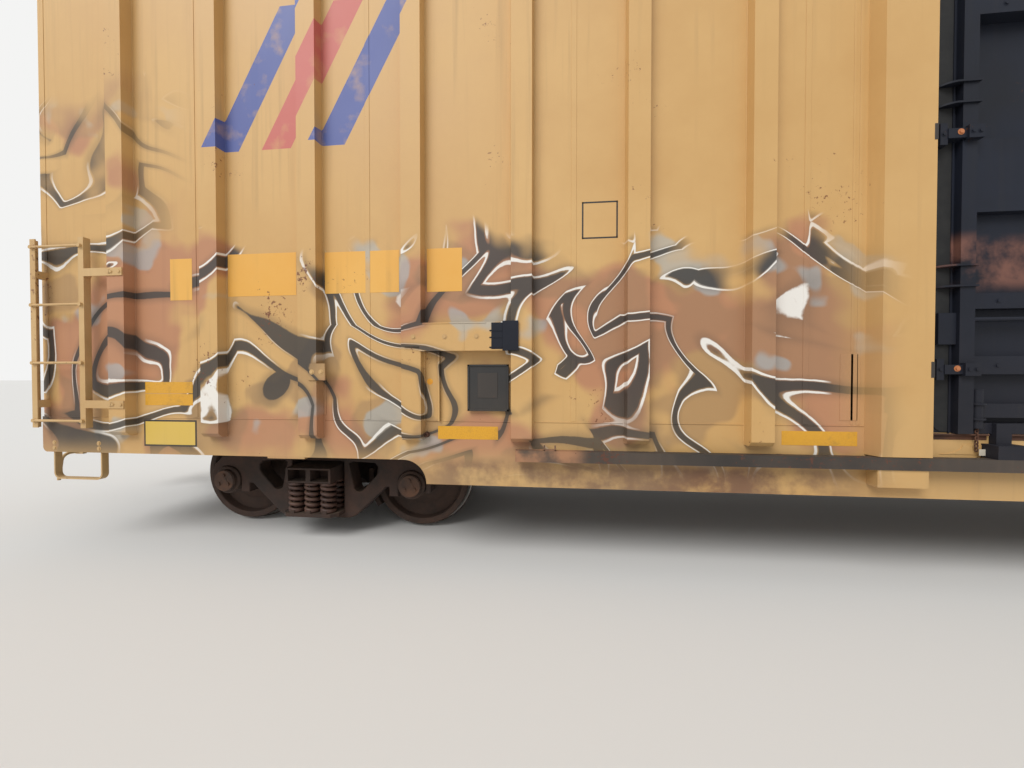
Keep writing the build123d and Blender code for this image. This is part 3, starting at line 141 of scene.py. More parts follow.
def linear(colour: str) -> tuple[float, float, float, float]:
    """Turn an sRGB hex colour into linear light.

    Args:
        colour: the colour as "#RRGGBB".

    Returns:
        Red, green, blue and an alpha of 1.
    """
    parts = [int(colour[k : k + 2], 16) / 255 for k in (1, 3, 5)]
    curve = [c / 12.92 if c <= 0.04045 else ((c + 0.055) / 1.055) ** 2.4 for c in parts]
    return (*curve, 1.0)


def feed(tree: Tree, node: Node, inputs: dict[str | int, Value]) -> None:
    """Give a node's inputs their values and links.

    Args:
        tree: the node's tree.
        node: the node that is fed.
        inputs: a value, a socket or a node for each input, by name or number.
    """
    for key, value in inputs.items():
        source = value.outputs[0] if isinstance(value, Node) else value
        if isinstance(source, Socket):
            tree.links.new(source, node.inputs[key])
        else:
            node.inputs[key].default_value = source


def add(tree: Tree, kind: str, inputs: dict[str | int, Value] | None = None, **settings: str) -> Node:
    """Add a node with its settings, values and links.

    Args:
        tree: the node tree that gets it.
        kind: the node's type name.
        inputs: what its inputs are fed with.
        settings: the node's own properties.

    Returns:
        The new node.
    """
    node = tree.nodes.new(kind)
    for name, value in settings.items():
        setattr(node, name, value)
    feed(tree, node, inputs or {})
    return node


def maths(tree: Tree, operation: str, *values: Value) -> Node:
    """Add one step of arithmetic over some values."""
    return add(tree, "ShaderNodeMath", dict(enumerate(values)), operation=operation)


def vector_maths(tree: Tree, operation: str, *values: Value) -> Node:
    """Add one step of arithmetic over some vectors."""
    return add(tree, "ShaderNodeVectorMath", dict(enumerate(values)), operation=operation)


def product(tree: Tree, *values: Value) -> Node:
    """Multiply some values in turn."""
    whole = values[0]
    for value in values[1:]:
        whole = maths(tree, "MULTIPLY", whole, value)
    return whole


def parts_of(tree: Tree, place: Value) -> Node:
    """Add a node that parts a vector into X, Y and Z."""
    return add(tree, "ShaderNodeSeparateXYZ", {"Vector": place})


def noise(tree: Tree, place: Value, per_metre: float, detail: float, roughness: float = 0.5) -> Node:
    """Add a cloudy texture with its size per metre, its octaves and how rough they are."""
    return add(
        tree,
        "ShaderNodeTexNoise",
        {"Vector": place, "Scale": per_metre, "Detail": detail, "Roughness": roughness},
    )


def ramp(
    tree: Tree,
    value: Value,
    low: float = 0.0,
    high: float = 1.0,
    to_low: float = 0.0,
    to_high: float = 1.0,
    smooth: bool = False,
) -> Node:
    """Map a value from one range to another.

    Args:
        tree: the tree.
        value: what is mapped.
        low: where the first range starts, which may be above its end.
        high: where it ends.
        to_low: what comes out at the start.
        to_high: what comes out at the end.
        smooth: whether both ends are eased.

    Returns:
        The node that gives the mapped value.
    """
    limits = {"From Min": low, "From Max": high, "To Min": to_low, "To Max": to_high}
    return add(
        tree,
        "ShaderNodeMapRange",
        {"Value": value, **limits},
        interpolation_type="SMOOTHSTEP" if smooth else "LINEAR",
    )


def blend(tree: Tree, amount: Value, under: str | Value, over: str | Value) -> Node:
    """Mix two colours, each a hex colour or what makes it.

    Args:
        tree: the tree.
        amount: how much of the second colour shows.
        under: the first colour.
        over: the second colour.

    Returns:
        The node that gives the mixed colour.
    """
    colours = [linear(colour) if isinstance(colour, str) else colour for colour in (under, over)]
    return add(tree, "ShaderNodeMixRGB", {"Fac": amount, "Color1": colours[0], "Color2": colours[1]})


def design_group(name: str, *outputs: str) -> tuple[Tree, Node]:
    """Start a shader group that paints over a base colour.

    Args:
        name: the group's name.
        outputs: the names of what comes out: "Colour" is a colour, the rest are numbers.

    Returns:
        The group's tree, and the node that gives "Place" and "Base".
    """
    tree = bpy.data.node_groups.new(name, "ShaderNodeTree")
    face = tree.interface
    face.new_socket("Place", in_out="INPUT", socket_type="NodeSocketVector")
    face.new_socket("Base", in_out="INPUT", socket_type="NodeSocketColor")
    for output in outputs:
        kind = "NodeSocketColor" if output == "Colour" else "NodeSocketFloat"
        face.new_socket(output, in_out="OUTPUT", socket_type=kind)
    return tree, add(tree, "NodeGroupInput")


def stand(name: str, data: bpy.types.ID) -> Piece:
    """Put some data in the scene as an object."""
    item = bpy.data.objects.new(name, data)
    bpy.context.scene.collection.objects.link(item)
    return item


@dataclass(frozen=True)
class SprayDesign:
    """Layers of spray paint along the lower side: nested bands with corners.

    The bands are contours of a warped noise and diamond cells, so they swell, close and branch as
    loose strokes do.
    """

    outline: str = "#33312F"
    highlight: str = "#E9E6DF"
    rose: str = "#A96F58"
    umber: str = "#8C6E50"
    pale: str = "#9FADB0"
    # bands are about half a metre apart, outlines 40 to 70 mm wide, highlights 25 to 40 mm
    swirl_per_metre: float = 0.62
    # corners come from diamond-shaped cells, about one a metre
    angles_per_metre: float = 0.85
    angles_share: float = 0.34
    nested_bands: float = 5.6
    # how far the two sides lie apart in the noise, and how far the bands are warped, leant and drawn out
    side_shift: float = 4.3
    warp: Point = (2.6, 0.0, 1.5)
    lean: float = 0.5
    stretch: float = 1.35
    ragged: float = 0.012
    # where each layer begins and is full, measured from a contour, and how much it covers
    dark_edge: Span = (0.105, 0.08)
    dark_cover: float = 0.88
    haze_edge: Span = (0.3, 0.04)
    haze_cover: float = 0.42
    light_inner: Span = (0.104, 0.116)
    light_outer: Span = (0.156, 0.142)
    light_cover: float = 0.92
    # the painted band, and where it climbs towards the corner
    top: float = 2.42
    foot: float = 0.70
    door_side: float = 2.55
    corner: Span = (BODY_X - 1.5, BODY_X - 0.7)
    corner_top: Span = (3.75, 3.1)

    def group(self) -> Tree:
        """Build the design as a shader group.

        Returns:
            The group, from a place and a base colour to the painted colour and the paint's cover.
        """
        tree, given = design_group("spray_design", "Colour", "Cover")
        split = parts_of(tree, given.outputs["Place"])
        side = maths(tree, "SIGN", split.outputs["Y"])
        apart = product(tree, side, self.side_shift)
        flat = add(
            tree, "ShaderNodeCombineXYZ", {"X": split.outputs["X"], "Y": apart, "Z": split.outputs["Z"]}
        )
        warp = noise(tree, flat, 0.8, 1.0)
        warp_centred = vector_maths(tree, "SUBTRACT", warp.outputs["Color"], (0.5, 0.5, 0.5))
        warp_far = vector_maths(tree, "MULTIPLY", warp_centred, self.warp)
        bent = vector_maths(tree, "ADD", flat, warp_far)
        slanted = add(
            tree,
            "ShaderNodeMapping",
            {"Vector": bent, "Rotation": (0.0, self.lean, 0.0), "Scale": (1.0, 1.0, self.stretch)},
        )
        swirl = noise(tree, slanted, self.swirl_per_metre, 0.6, 0.4)
        angles = add(
            tree,
            "ShaderNodeTexVoronoi",
            {"Vector": slanted, "Scale": self.angles_per_metre, "Smoothness": 0.12},
            feature="SMOOTH_F1",
            distance="MANHATTAN",
        )
        field = maths(tree, "MULTIPLY_ADD", angles.outputs["Distance"], self.angles_share, swirl)
        nested = product(tree, field, self.nested_bands)
        phase = maths(tree, "PINGPONG", nested, 0.5)
        ragged = noise(tree, flat, 16.0, 3.0)
        ragged_small = ramp(tree, ragged, to_low=-self.ragged, to_high=self.ragged)
        stroke = maths(tree, "ADD", phase, ragged_small)
        dark = ramp(tree, stroke, *self.dark_edge, to_high=self.dark_cover, smooth=True)
        haze = ramp(tree, stroke, *self.haze_edge, to_high=self.haze_cover, smooth=True)
        light_in = ramp(tree, stroke, *self.light_inner, smooth=True)
        light_out = ramp(tree, stroke, *self.light_outer, smooth=True)
        patchy = noise(tree, flat, 1.1, 1.0)
        light_where = ramp(tree, patchy, 0.42, 0.5, to_high=self.light_cover)
        light = product(tree, light_in, light_out, light_where)
        # each tint: its noise's size and shift, where it begins and is full, and how much it covers
        tints = (
            (self.rose, 0.9, (3.1, 0.0, 7.7), 0.51, 0.55, 0.72),
            (self.umber, 1.3, (9.2, 0.0, 1.4), 0.53, 0.57, 0.50),
            (self.pale, 1.6, (5.5, 0.0, 4.9), 0.59, 0.62, 0.55),
        )
        colour = given.outputs["Base"]
        for tint, scale, shift, low, high, most in tints:
            moved = vector_maths(tree, "ADD", flat, shift)
            field = noise(tree, moved, scale, 2.5)
            where = ramp(tree, field, low, high, to_high=most, smooth=True)
            colour = blend(tree, where, colour, tint)
        for amount, paint in ((haze, self.outline), (dark, self.outline), (light, self.highlight)):
            colour = blend(tree, amount, colour, paint)
        cover = self.cover(tree, flat, split)
        painted = blend(tree, cover, given.outputs["Base"], colour)
        add(tree, "NodeGroupOutput", {"Colour": painted, "Cover": cover})
        return tree

    def cover(self, tree: Tree, flat: Node, split: Node) -> Node:
        """Where the paint lies: a band with a wavy top edge from the corner to the door post.

        Args:
            tree: the group's tree.
            flat: the place with its Y fixed for each side.
            split: the place's parts.

        Returns:
            The node that gives the cover, from 0 to 1.
        """
        edge = noise(tree, flat, 0.9, 3.0, 0.6)
        raised = ramp(tree, edge, 0.3, 0.7, -0.55, 0.55)
        height = maths(tree, "ADD", split.outputs["Z"], raised)
        below = ramp(tree, height, self.top + 0.12, self.top - 0.16, smooth=True)
        from_middle = maths(tree, "ABSOLUTE", split.outputs["X"])
        outside = ramp(tree, from_middle, self.door_side, self.door_side + 0.5, smooth=True)
        above = ramp(tree, split.outputs["Z"], self.foot - 0.05, self.foot + 0.25, smooth=True)
        from_side = maths(tree, "ABSOLUTE", split.outputs["Y"])
        on_side = maths(tree, "GREATER_THAN", from_side, SHEET_Y - 0.03)
        corner = ramp(tree, from_middle, *self.corner, smooth=True)
        corner_below = ramp(tree, height, *self.corner_top, smooth=True)
        corner_part = product(tree, corner, corner_below)
        either = maths(tree, "MAXIMUM", product(tree, below, outside), corner_part)
        return product(tree, either, above, on_side)


@dataclass(frozen=True)
class StripeEmblem:
    """Three slanted stripes, blue, rose and blue, high on the sheets of the marked quarters."""

    blue: str = "#39549A"
    rose: str = "#BE605C"
    middle_x: float = 6.80
    middle_z: float = 3.82
    half_height: float = 0.56
    slant: float = 0.55
    # each stripe's middle, measured along the car at the emblem's middle height
    stripe_middles: tuple[float, float, float] = (-0.45, 0.0, 0.45)
    stripe_half: float = 0.125

    def group(self) -> Tree:
        """Build the emblem as a shader group, from a place and a base colour to the painted colour."""
        tree, given = design_group("stripe_emblem", "Colour")
        split = parts_of(tree, given.outputs["Place"])
        x, y, z = split.outputs
        quarter = product(tree, x, y)
        marked = maths(tree, "GREATER_THAN", quarter, 0.0)
        level = maths(tree, "SUBTRACT", z, self.middle_z)
        level_size = maths(tree, "ABSOLUTE", level)
        inside = maths(tree, "LESS_THAN", level_size, self.half_height)
        away = maths(tree, "ABSOLUTE", x)
        along = maths(tree, "SUBTRACT", away, self.middle_x)
        slanted = maths(tree, "MULTIPLY_ADD", level, self.slant, along)
        wear = noise(tree, given.outputs["Place"], 6.0, 8.0)
        kept = ramp(tree, wear, 0.3, 0.46, 0.55, 0.92)
        seen = product(tree, marked, inside, kept)
        colour = given.outputs["Base"]
        for middle, paint in zip(self.stripe_middles, (self.blue, self.rose, self.blue)):
            from_stripe = maths(tree, "SUBTRACT", slanted, middle)
            size = maths(tree, "ABSOLUTE", from_stripe)
            stripe = maths(tree, "LESS_THAN", size, self.stripe_half)
            amount = product(tree, stripe, seen)
            colour = blend(tree, amount, colour, paint)
        add(tree, "NodeGroupOutput", {"Colour": colour})
        return tree


SPRAY_GROUP = SprayDesign().group()
EMBLEM_GROUP = StripeEmblem().group()
# the materials made so far, by finish
MADE: dict["Finish", Material] = {}


@dataclass(frozen=True)
class Finish:
    """What every finish has: its name and the record's slot that it dresses."""

    name: str
    slot: str

    def material(self) -> Material:
        """The finish's material, built when it is first asked for."""
        if self not in MADE:
            MADE[self] = self.build()
        return MADE[self]

    def build(self) -> Material:
        """Build the material around the finish's own look."""
        material = bpy.data.materials.new(self.name)
        material.use_nodes = True
        tree = material.node_tree
        tree.nodes.clear()
        shader = add(tree, "ShaderNodeBsdfPrincipled")
        add(tree, "ShaderNodeOutputMaterial", {"Surface": shader})
        place = add(tree, "ShaderNodeTexCoord").outputs["Object"]
        feed(tree, shader, self.look(tree, place))
        return material

    def look(self, tree: Tree, place: Socket) -> dict[str, Value]:
        """Make what the shader's inputs get. Each finish has its own way.

        Args:
            tree: the material's tree.
            place: the place on the object, in metres.

        Returns:
            A value or its node for each of the shader's inputs that isn't left as it is.
        """
        raise NotImplementedError(self.name)


@dataclass(frozen=True)
class WeatheredEnamel(Finish):
    """Alkyd enamel brushed or sprayed on steel sheet, chalked by the sun, with rain streaks and rust.

    To the eye: a matt, slightly mottled colour, darker runs below every edge, brown specks where
    stones chipped it, and a soft waviness of the thin sheet.
    """

    base: str = "#C39A60"
    sunned: str = "#CDA66C"
    grime: str = "#6E5637"
    rust: str = "#6B3A20"
    dust: str = "#A58D6A"
    streaks: float = 0.30
    rust_cover: float = 0.5
    dust_below: float = 1.5
    dust_most: float = 0.35
    roughness: float = 0.52
    waviness: float = 0.004
    sprayed: bool = False
    skin: float = 0.5
    # distances from the car's middle and heights between which stray rose paint lies
    overspray: tuple[Span, Span] | None = None
    overspray_colour: str = "#9C6A58"

    def look(self, tree: Tree, place: Socket) -> dict[str, Value]:
        """What the shader's inputs get over a place, in metres."""
        # chalking changes over about a metre, with finer clouds of 100 mm inside it
        clouds = noise(tree, place, 0.9, 6.0, 0.62)
        clouds_mix = ramp(tree, clouds, 0.35, 0.68)
        colour = blend(tree, clouds_mix, self.base, self.sunned)
        # rain runs are 20 to 60 mm wide and one to three metres long
        runs_place = add(tree, "ShaderNodeMapping", {"Vector": place, "Scale": (17.0, 17.0, 0.55)})
        runs = noise(tree, runs_place, 1.0, 3.0, 0.5)
        runs_seen = ramp(tree, runs, 0.54, 0.78, to_high=self.streaks)
        runs_where = ramp(tree, clouds, 0.42, 0.6)
        runs_mix = product(tree, runs_seen, runs_where)
        colour = blend(tree, runs_mix, colour, self.grime)
        if self.sprayed:
            for design in (EMBLEM_GROUP, SPRAY_GROUP):
                painted = add(tree, "ShaderNodeGroup", node_tree=design)
                feed(tree, painted, {"Place": place, "Base": colour})
                colour = painted
        if self.overspray:
            colour = self.stray_paint(tree, place, colour)
        # road dust gathers towards the foot
        split = parts_of(tree, place)
        low = ramp(tree, split.outputs["Z"], self.dust_below, 0.55, to_high=self.dust_most, smooth=True)
        dusty = product(tree, low, clouds_mix)
        colour = blend(tree, dusty, colour, self.dust)
        # chips and rust blooms, 5 to 40 mm
        chips = noise(tree, place, 30.0, 9.0, 0.66)
        region = noise(tree, place, 1.7, 3.0)
        both = product(tree, chips, region)
        rust_from = 0.455 - 0.09 * self.rust_cover
        rusty = ramp(tree, both, rust_from, rust_from + 0.03, to_high=0.9)
        colour = blend(tree, rusty, colour, self.rust)
        gloss = ramp(tree, clouds, to_low=self.roughness - 0.1, to_high=self.roughness + 0.16)
        sheet = noise(tree, place, 1.6, 1.0)
        wavy = add(tree, "ShaderNodeBump", {"Strength": 0.6, "Distance": self.waviness, "Height": sheet})
        grain = add(
            tree, "ShaderNodeBump", {"Strength": 0.5, "Distance": 0.0006, "Height": chips, "Normal": wavy}
        )
        skin = {"Roughness": gloss, "Specular IOR Level": self.skin, "Normal": grain}
        return {"Base Color": colour, **skin}

    def stray_paint(self, tree: Tree, place: Socket, colour: Node) -> Node:
        """Lay stray rose paint between two distances from the middle and two heights.

        Args:
            tree: the material's tree.
            place: the place on the object.
            colour: the colour below it.

        Returns:
            The node with the mixed colour.
        """
        split = parts_of(tree, place)
        away = maths(tree, "ABSOLUTE", split.outputs["X"])
        cloud = noise(tree, place, 2.6, 5.0, 0.6)
        parts = []
        for value, (low, high) in zip((away, split.outputs["Z"]), self.overspray):
            soft = 0.12 * (high - low) + 0.02
            for edge, inner in ((low - soft, low + soft), (high + soft, high - soft)):
                parts.append(ramp(tree, value, edge, inner, smooth=True))
        patch = ramp(tree, cloud, 0.36, 0.58, to_high=0.9, smooth=True)
        return blend(tree, product(tree, *parts, patch), colour, self.overspray_colour)


@dataclass(frozen=True)
class RoughCasting(Finish):
    """Sand-cast steel left bare or thinly painted: brown all over, dusty on top, gritty to the eye; the
    default base is darkened with painted shade.
    """

    # the default base is darker than the steel's own brown: painted shade, standing for the shade that
    # falls on the trucks under the car
    base: str = "#2A1F19"
    bloom: str = "#412C22"
    dust: str = "#5E4F40"
    roughness: float = 0.82
    grit_per_metre: float = 90.0

    def look(self, tree: Tree, place: Socket) -> dict[str, Value]:
        """What the shader's inputs get over a place, in metres."""
        clouds = noise(tree, place, 5.0, 8.0, 0.65)
        mix = ramp(tree, clouds, 0.38, 0.66)
        colour = blend(tree, mix, self.base, self.bloom)
        # dust lies where a face looks up
        facing = add(tree, "ShaderNodeNewGeometry")
        up = parts_of(tree, facing.outputs["Normal"])
        on_top = ramp(tree, up.outputs["Z"], 0.2, 0.95, to_high=0.7)
        dusty = product(tree, on_top, mix)
        colour = blend(tree, dusty, colour, self.dust)
        grit = noise(tree, place, self.grit_per_metre, 6.0)
        skin = add(tree, "ShaderNodeBump", {"Strength": 0.6, "Distance": 0.0018, "Height": grit})
        return {"Base Color": colour, "Roughness": self.roughness, "Normal": skin}


@dataclass(frozen=True)
class RolledWheelSteel(Finish):
    """Forged and rolled steel: brown oxide on the plate and hub, and a tread worn bright by the rail."""

    centre_x: float = 0.0
    base: str = "#30241D"
    bloom: str = "#493327"
    bright: str = "#A9A6A1"
    tread_radius: float = 0.4572
    worn: Span = (0.700, 0.785)

    def look(self, tree: Tree, place: Socket) -> dict[str, Value]:
        """What the shader's inputs get over a place, in metres."""
        clouds = noise(tree, place, 7.0, 8.0, 0.7)
        mix = ramp(tree, clouds, 0.35, 0.7)
        colour = blend(tree, mix, self.base, self.bloom)
        centred = vector_maths(tree, "SUBTRACT", place, (self.centre_x, 0.0, AXLE_Z))
        round_part = vector_maths(tree, "MULTIPLY", centred, (1.0, 0.0, 1.0))
        radius = vector_maths(tree, "LENGTH", round_part)
        at_tread = ramp(
            tree, radius.outputs["Value"], self.tread_radius - 0.012, self.tread_radius - 0.006
        )
        split = parts_of(tree, place)
        from_middle = maths(tree, "ABSOLUTE", split.outputs["Y"])
        inside = maths(tree, "GREATER_THAN", from_middle, self.worn[0])
        outside = maths(tree, "LESS_THAN", from_middle, self.worn[1])
        worn = product(tree, inside, outside, at_tread)
        colour = blend(tree, worn, colour, self.bright)
        gloss = ramp(tree, worn, to_low=0.78, to_high=0.28)
        skin = add(tree, "ShaderNodeBump", {"Strength": 0.4, "Distance": 0.0012, "Height": clouds})
        return {"Base Color": colour, "Metallic": worn, "Roughness": gloss, "Normal": skin}


@dataclass(frozen=True)
class GalvanisedSteel(Finish):
    """Hot-dip galvanised sheet and grating, dulled: grey with a faint spangle and brown at the edges."""

    base: str = "#8C8A84"
    dull: str = "#6A655C"
    stain: str = "#5B4332"
    metallic: float = 0.35
    roughness: float = 0.6

    def look(self, tree: Tree, place: Socket) -> dict[str, Value]:
        """What the shader's inputs get over a place, in metres."""
        # spangles of zinc are 10 to 20 mm across
        spangle = add(tree, "ShaderNodeTexVoronoi", {"Vector": place, "Scale": 60.0})
        clouds = noise(tree, place, 1.3, 7.0, 0.65)
        flakes = add(tree, "ShaderNodeSeparateColor", {"Color": spangle.outputs["Color"]})
        flake_mix = product(tree, flakes, 0.5)
        colour = blend(tree, flake_mix, self.base, self.dull)
        stained = ramp(tree, clouds, 0.5, 0.72, to_high=0.75)
        colour = blend(tree, stained, colour, self.stain)
        gloss = ramp(tree, clouds, to_low=self.roughness - 0.15, to_high=self.roughness + 0.2)
        return {"Base Color": colour, "Metallic": self.metallic, "Roughness": gloss}


@dataclass(frozen=True)
class PlankDeck(Finish):
    """Sawn hardwood and nailing strips: brown boards 150 mm wide across the car, with dark joints."""

    base: str = "#6E5238"
    dark: str = "#3B2A1D"
    board: float = 0.150
    roughness: float = 0.85

    def look(self, tree: Tree, place: Socket) -> dict[str, Value]:
        """What the shader's inputs get over a place, in metres."""
        fibres_place = add(tree, "ShaderNodeMapping", {"Vector": place, "Scale": (60.0, 2.5, 60.0)})
        fibres = noise(tree, fibres_place, 1.0, 5.0)
        colour = blend(tree, fibres, self.base, self.dark)
        split = parts_of(tree, place)
        boards = product(tree, split.outputs["X"], 1 / self.board)
        across = maths(tree, "FRACT", boards)
        joint = maths(tree, "LESS_THAN", across, 0.04)
        colour = blend(tree, joint, colour, self.dark)
        return {"Base Color": colour, "Roughness": self.roughness}


@dataclass(frozen=True)
class ReflectiveTape(Finish):
    """Prismatic sheeting under clear film: yellow, with a fine net of sealed cells, dusty at the edges."""

    base: str = "#D89E1C"
    cell_line: str = "#B97F12"
    dirt: str = "#8A6A30"
    roughness: float = 0.34
    film: float = 0.35

    def look(self, tree: Tree, place: Socket) -> dict[str, Value]:
        """What the shader's inputs get over a place, in metres."""
        # sealed cells are 4 mm across; drawn at 8 mm so that they show
        cells = add(
            tree, "ShaderNodeTexVoronoi", {"Vector": place, "Scale": 125.0}, feature="DISTANCE_TO_EDGE"
        )
        net = ramp(tree, cells, 0.1, 0.03, to_high=0.55)
        colour = blend(tree, net, self.base, self.cell_line)
        clouds = noise(tree, place, 9.0, 6.0, 0.7)
        dirty = ramp(tree, clouds, 0.5, 0.75, to_high=0.6)
        colour = blend(tree, dirty, colour, self.dirt)
        return {"Base Color": colour, "Roughness": self.roughness, "Coat Weight": self.film}


@dataclass(frozen=True)
class SealRubber(Finish):
    """Extruded door seal: dull black rubber, grey with dust."""

    base: str = "#131314"
    dust: str = "#232322"
    roughness: float = 0.8

    def look(self, tree: Tree, place: Socket) -> dict[str, Value]:
        """What the shader's inputs get over a place, in metres."""
        clouds = noise(tree, place, 12.0, 6.0)
        mix = ramp(tree, clouds, 0.42, 0.75, to_high=0.7)
        colour = blend(tree, mix, self.base, self.dust)
        return {"Base Color": colour, "Roughness": self.roughness}


BODY_PAINT = WeatheredEnamel(
    "tan_enamel_on_sheet",
    "body_paint",
    sprayed=True,
    overspray=((2.9, 5.9), (0.58, 0.80)),
    overspray_colour="#6E4C3A",
)
LADDER_PAINT = WeatheredEnamel(
    "tan_enamel_on_bar",
    "ladder_paint",
    base="#B8935F",
    sunned="#CBAA78",
    streaks=0.15,
    rust_cover=0.7,
    waviness=0.001,
)
DOOR_PAINT = WeatheredEnamel(
    "black_enamel_on_pressed_steel",
    "door_paint",
    base="#14161D",
    sunned="#1D222F",
    grime="#2E2B29",
    rust="#3E271D",
    dust="#3A322C",
    streaks=0.30,
    rust_cover=0.45,
    dust_below=2.3,
    dust_most=0.40,
    roughness=0.55,
    skin=0.22,
    overspray=((1.15, 2.43), (2.05, 2.36)),
    overspray_colour="#7A5448",
)
RAIL_PAINT = WeatheredEnamel(
    "grimy_enamel_on_channel",
    "door_rail",
    base="#2E2925",
    sunned="#3D3631",
    grime="#5E5043",
    rust="#5B3423",
    dust="#6E5C4B",
    rust_cover=1.2,
    roughness=0.62,
    waviness=0.001,
    overspray=((4.72, 5.30), (0.78, 0.93)),
    overspray_colour="#B4805A",
)
UNDERFRAME_PAINT = WeatheredEnamel(
    "brown_enamel_on_plate",
    "underframe_paint",
    base="#35291F",
    sunned="#45352A",
    grime="#5A4838",
    rust="#5A3220",
    dust="#6B5947",
    rust_cover=1.2,
    roughness=0.72,
    waviness=0.001,
)
BRAKE_GEAR_PAINT = WeatheredEnamel(
    "rusty_enamel_on_iron",
    "brake_gear",
    base="#4A3A2E",
    sunned="#5A4636",
    grime="#3A2B20",
    rust="#6A3A22",
    rust_cover=1.6,
    roughness=0.7,
    waviness=0.001,
)
ROOF_SHEET = GalvanisedSteel("galvanised_roof_sheet", "roof_sheet")
PLATFORM_STEEL = GalvanisedSteel("galvanised_grating", "platform_steel", stain="#4C3A2C")
FLOOR_DECK = PlankDeck("sawn_deck_boards", "floor_deck")
# the trucks keep the darkened default base, which is painted shade under the car
TRUCK_CASTING = RoughCasting("sand_cast_steel_with_painted_shade", "truck_casting")
SPRING_STEEL = RoughCasting(
    "hot_wound_spring_steel", "spring_steel", base="#382620", bloom="#5A3A2D", roughness=0.6
)
COUPLER_CASTING = RoughCasting("bare_coupler_casting", "coupler_casting", base="#4A3023", bloom="#6E4530")
RUSTY_STEEL = RoughCasting(
    "rusted_mild_steel", "brake_gear", base="#3E281D", bloom="#5C3A28", roughness=0.85
)
PIN_STEEL = RoughCasting("primed_pin_steel", "brake_gear", base="#9A5A34", bloom="#C07A4C", roughness=0.6)
CAP_STEEL = RoughCasting(
    "greasy_cap_steel", "truck_casting", base="#2B1E16", bloom="#573823", roughness=0.7
)
SCORCHED = RoughCasting(
    "scorched_enamel", "body_paint", base="#D98A1E", bloom="#EBB03A", dust="#B5722A", roughness=0.6
)
LIFTED_PATCH = WeatheredEnamel(
    "orange_enamel_patch",
    "body_paint",
    base="#DDA345",
    sunned="#E2AE58",
    streaks=0.35,
    rust_cover=0.35,
    waviness=0.0005,
)
PLATE_YELLOW = WeatheredEnamel(
    "yellow_enamel_plate",
    "body_paint",
    base="#CFAE4C",
    sunned="#DAB85A",
    streaks=0.2,
    rust_cover=0.3,
    waviness=0.0005,
)
PALE_TAG = WeatheredEnamel(
    "pale_enamel_tag",
    "platform_steel",
    base="#C9C0AC",
    sunned="#D8D2C4",
    streaks=0.2,
    rust_cover=0.8,
    waviness=0.0005,
)
PLATE_BLACK = WeatheredEnamel(
    "black_enamel_border",
    "door_paint",
    base="#1F1E1E",
    sunned="#2B2928",
    grime="#4A453F",
    rust="#4F3022",
    waviness=0.0005,
)
TAPE = ReflectiveTape("prismatic_reflective_tape", "body_paint")
SEAL = SealRubber("door_seal_rubber", "door_paint")


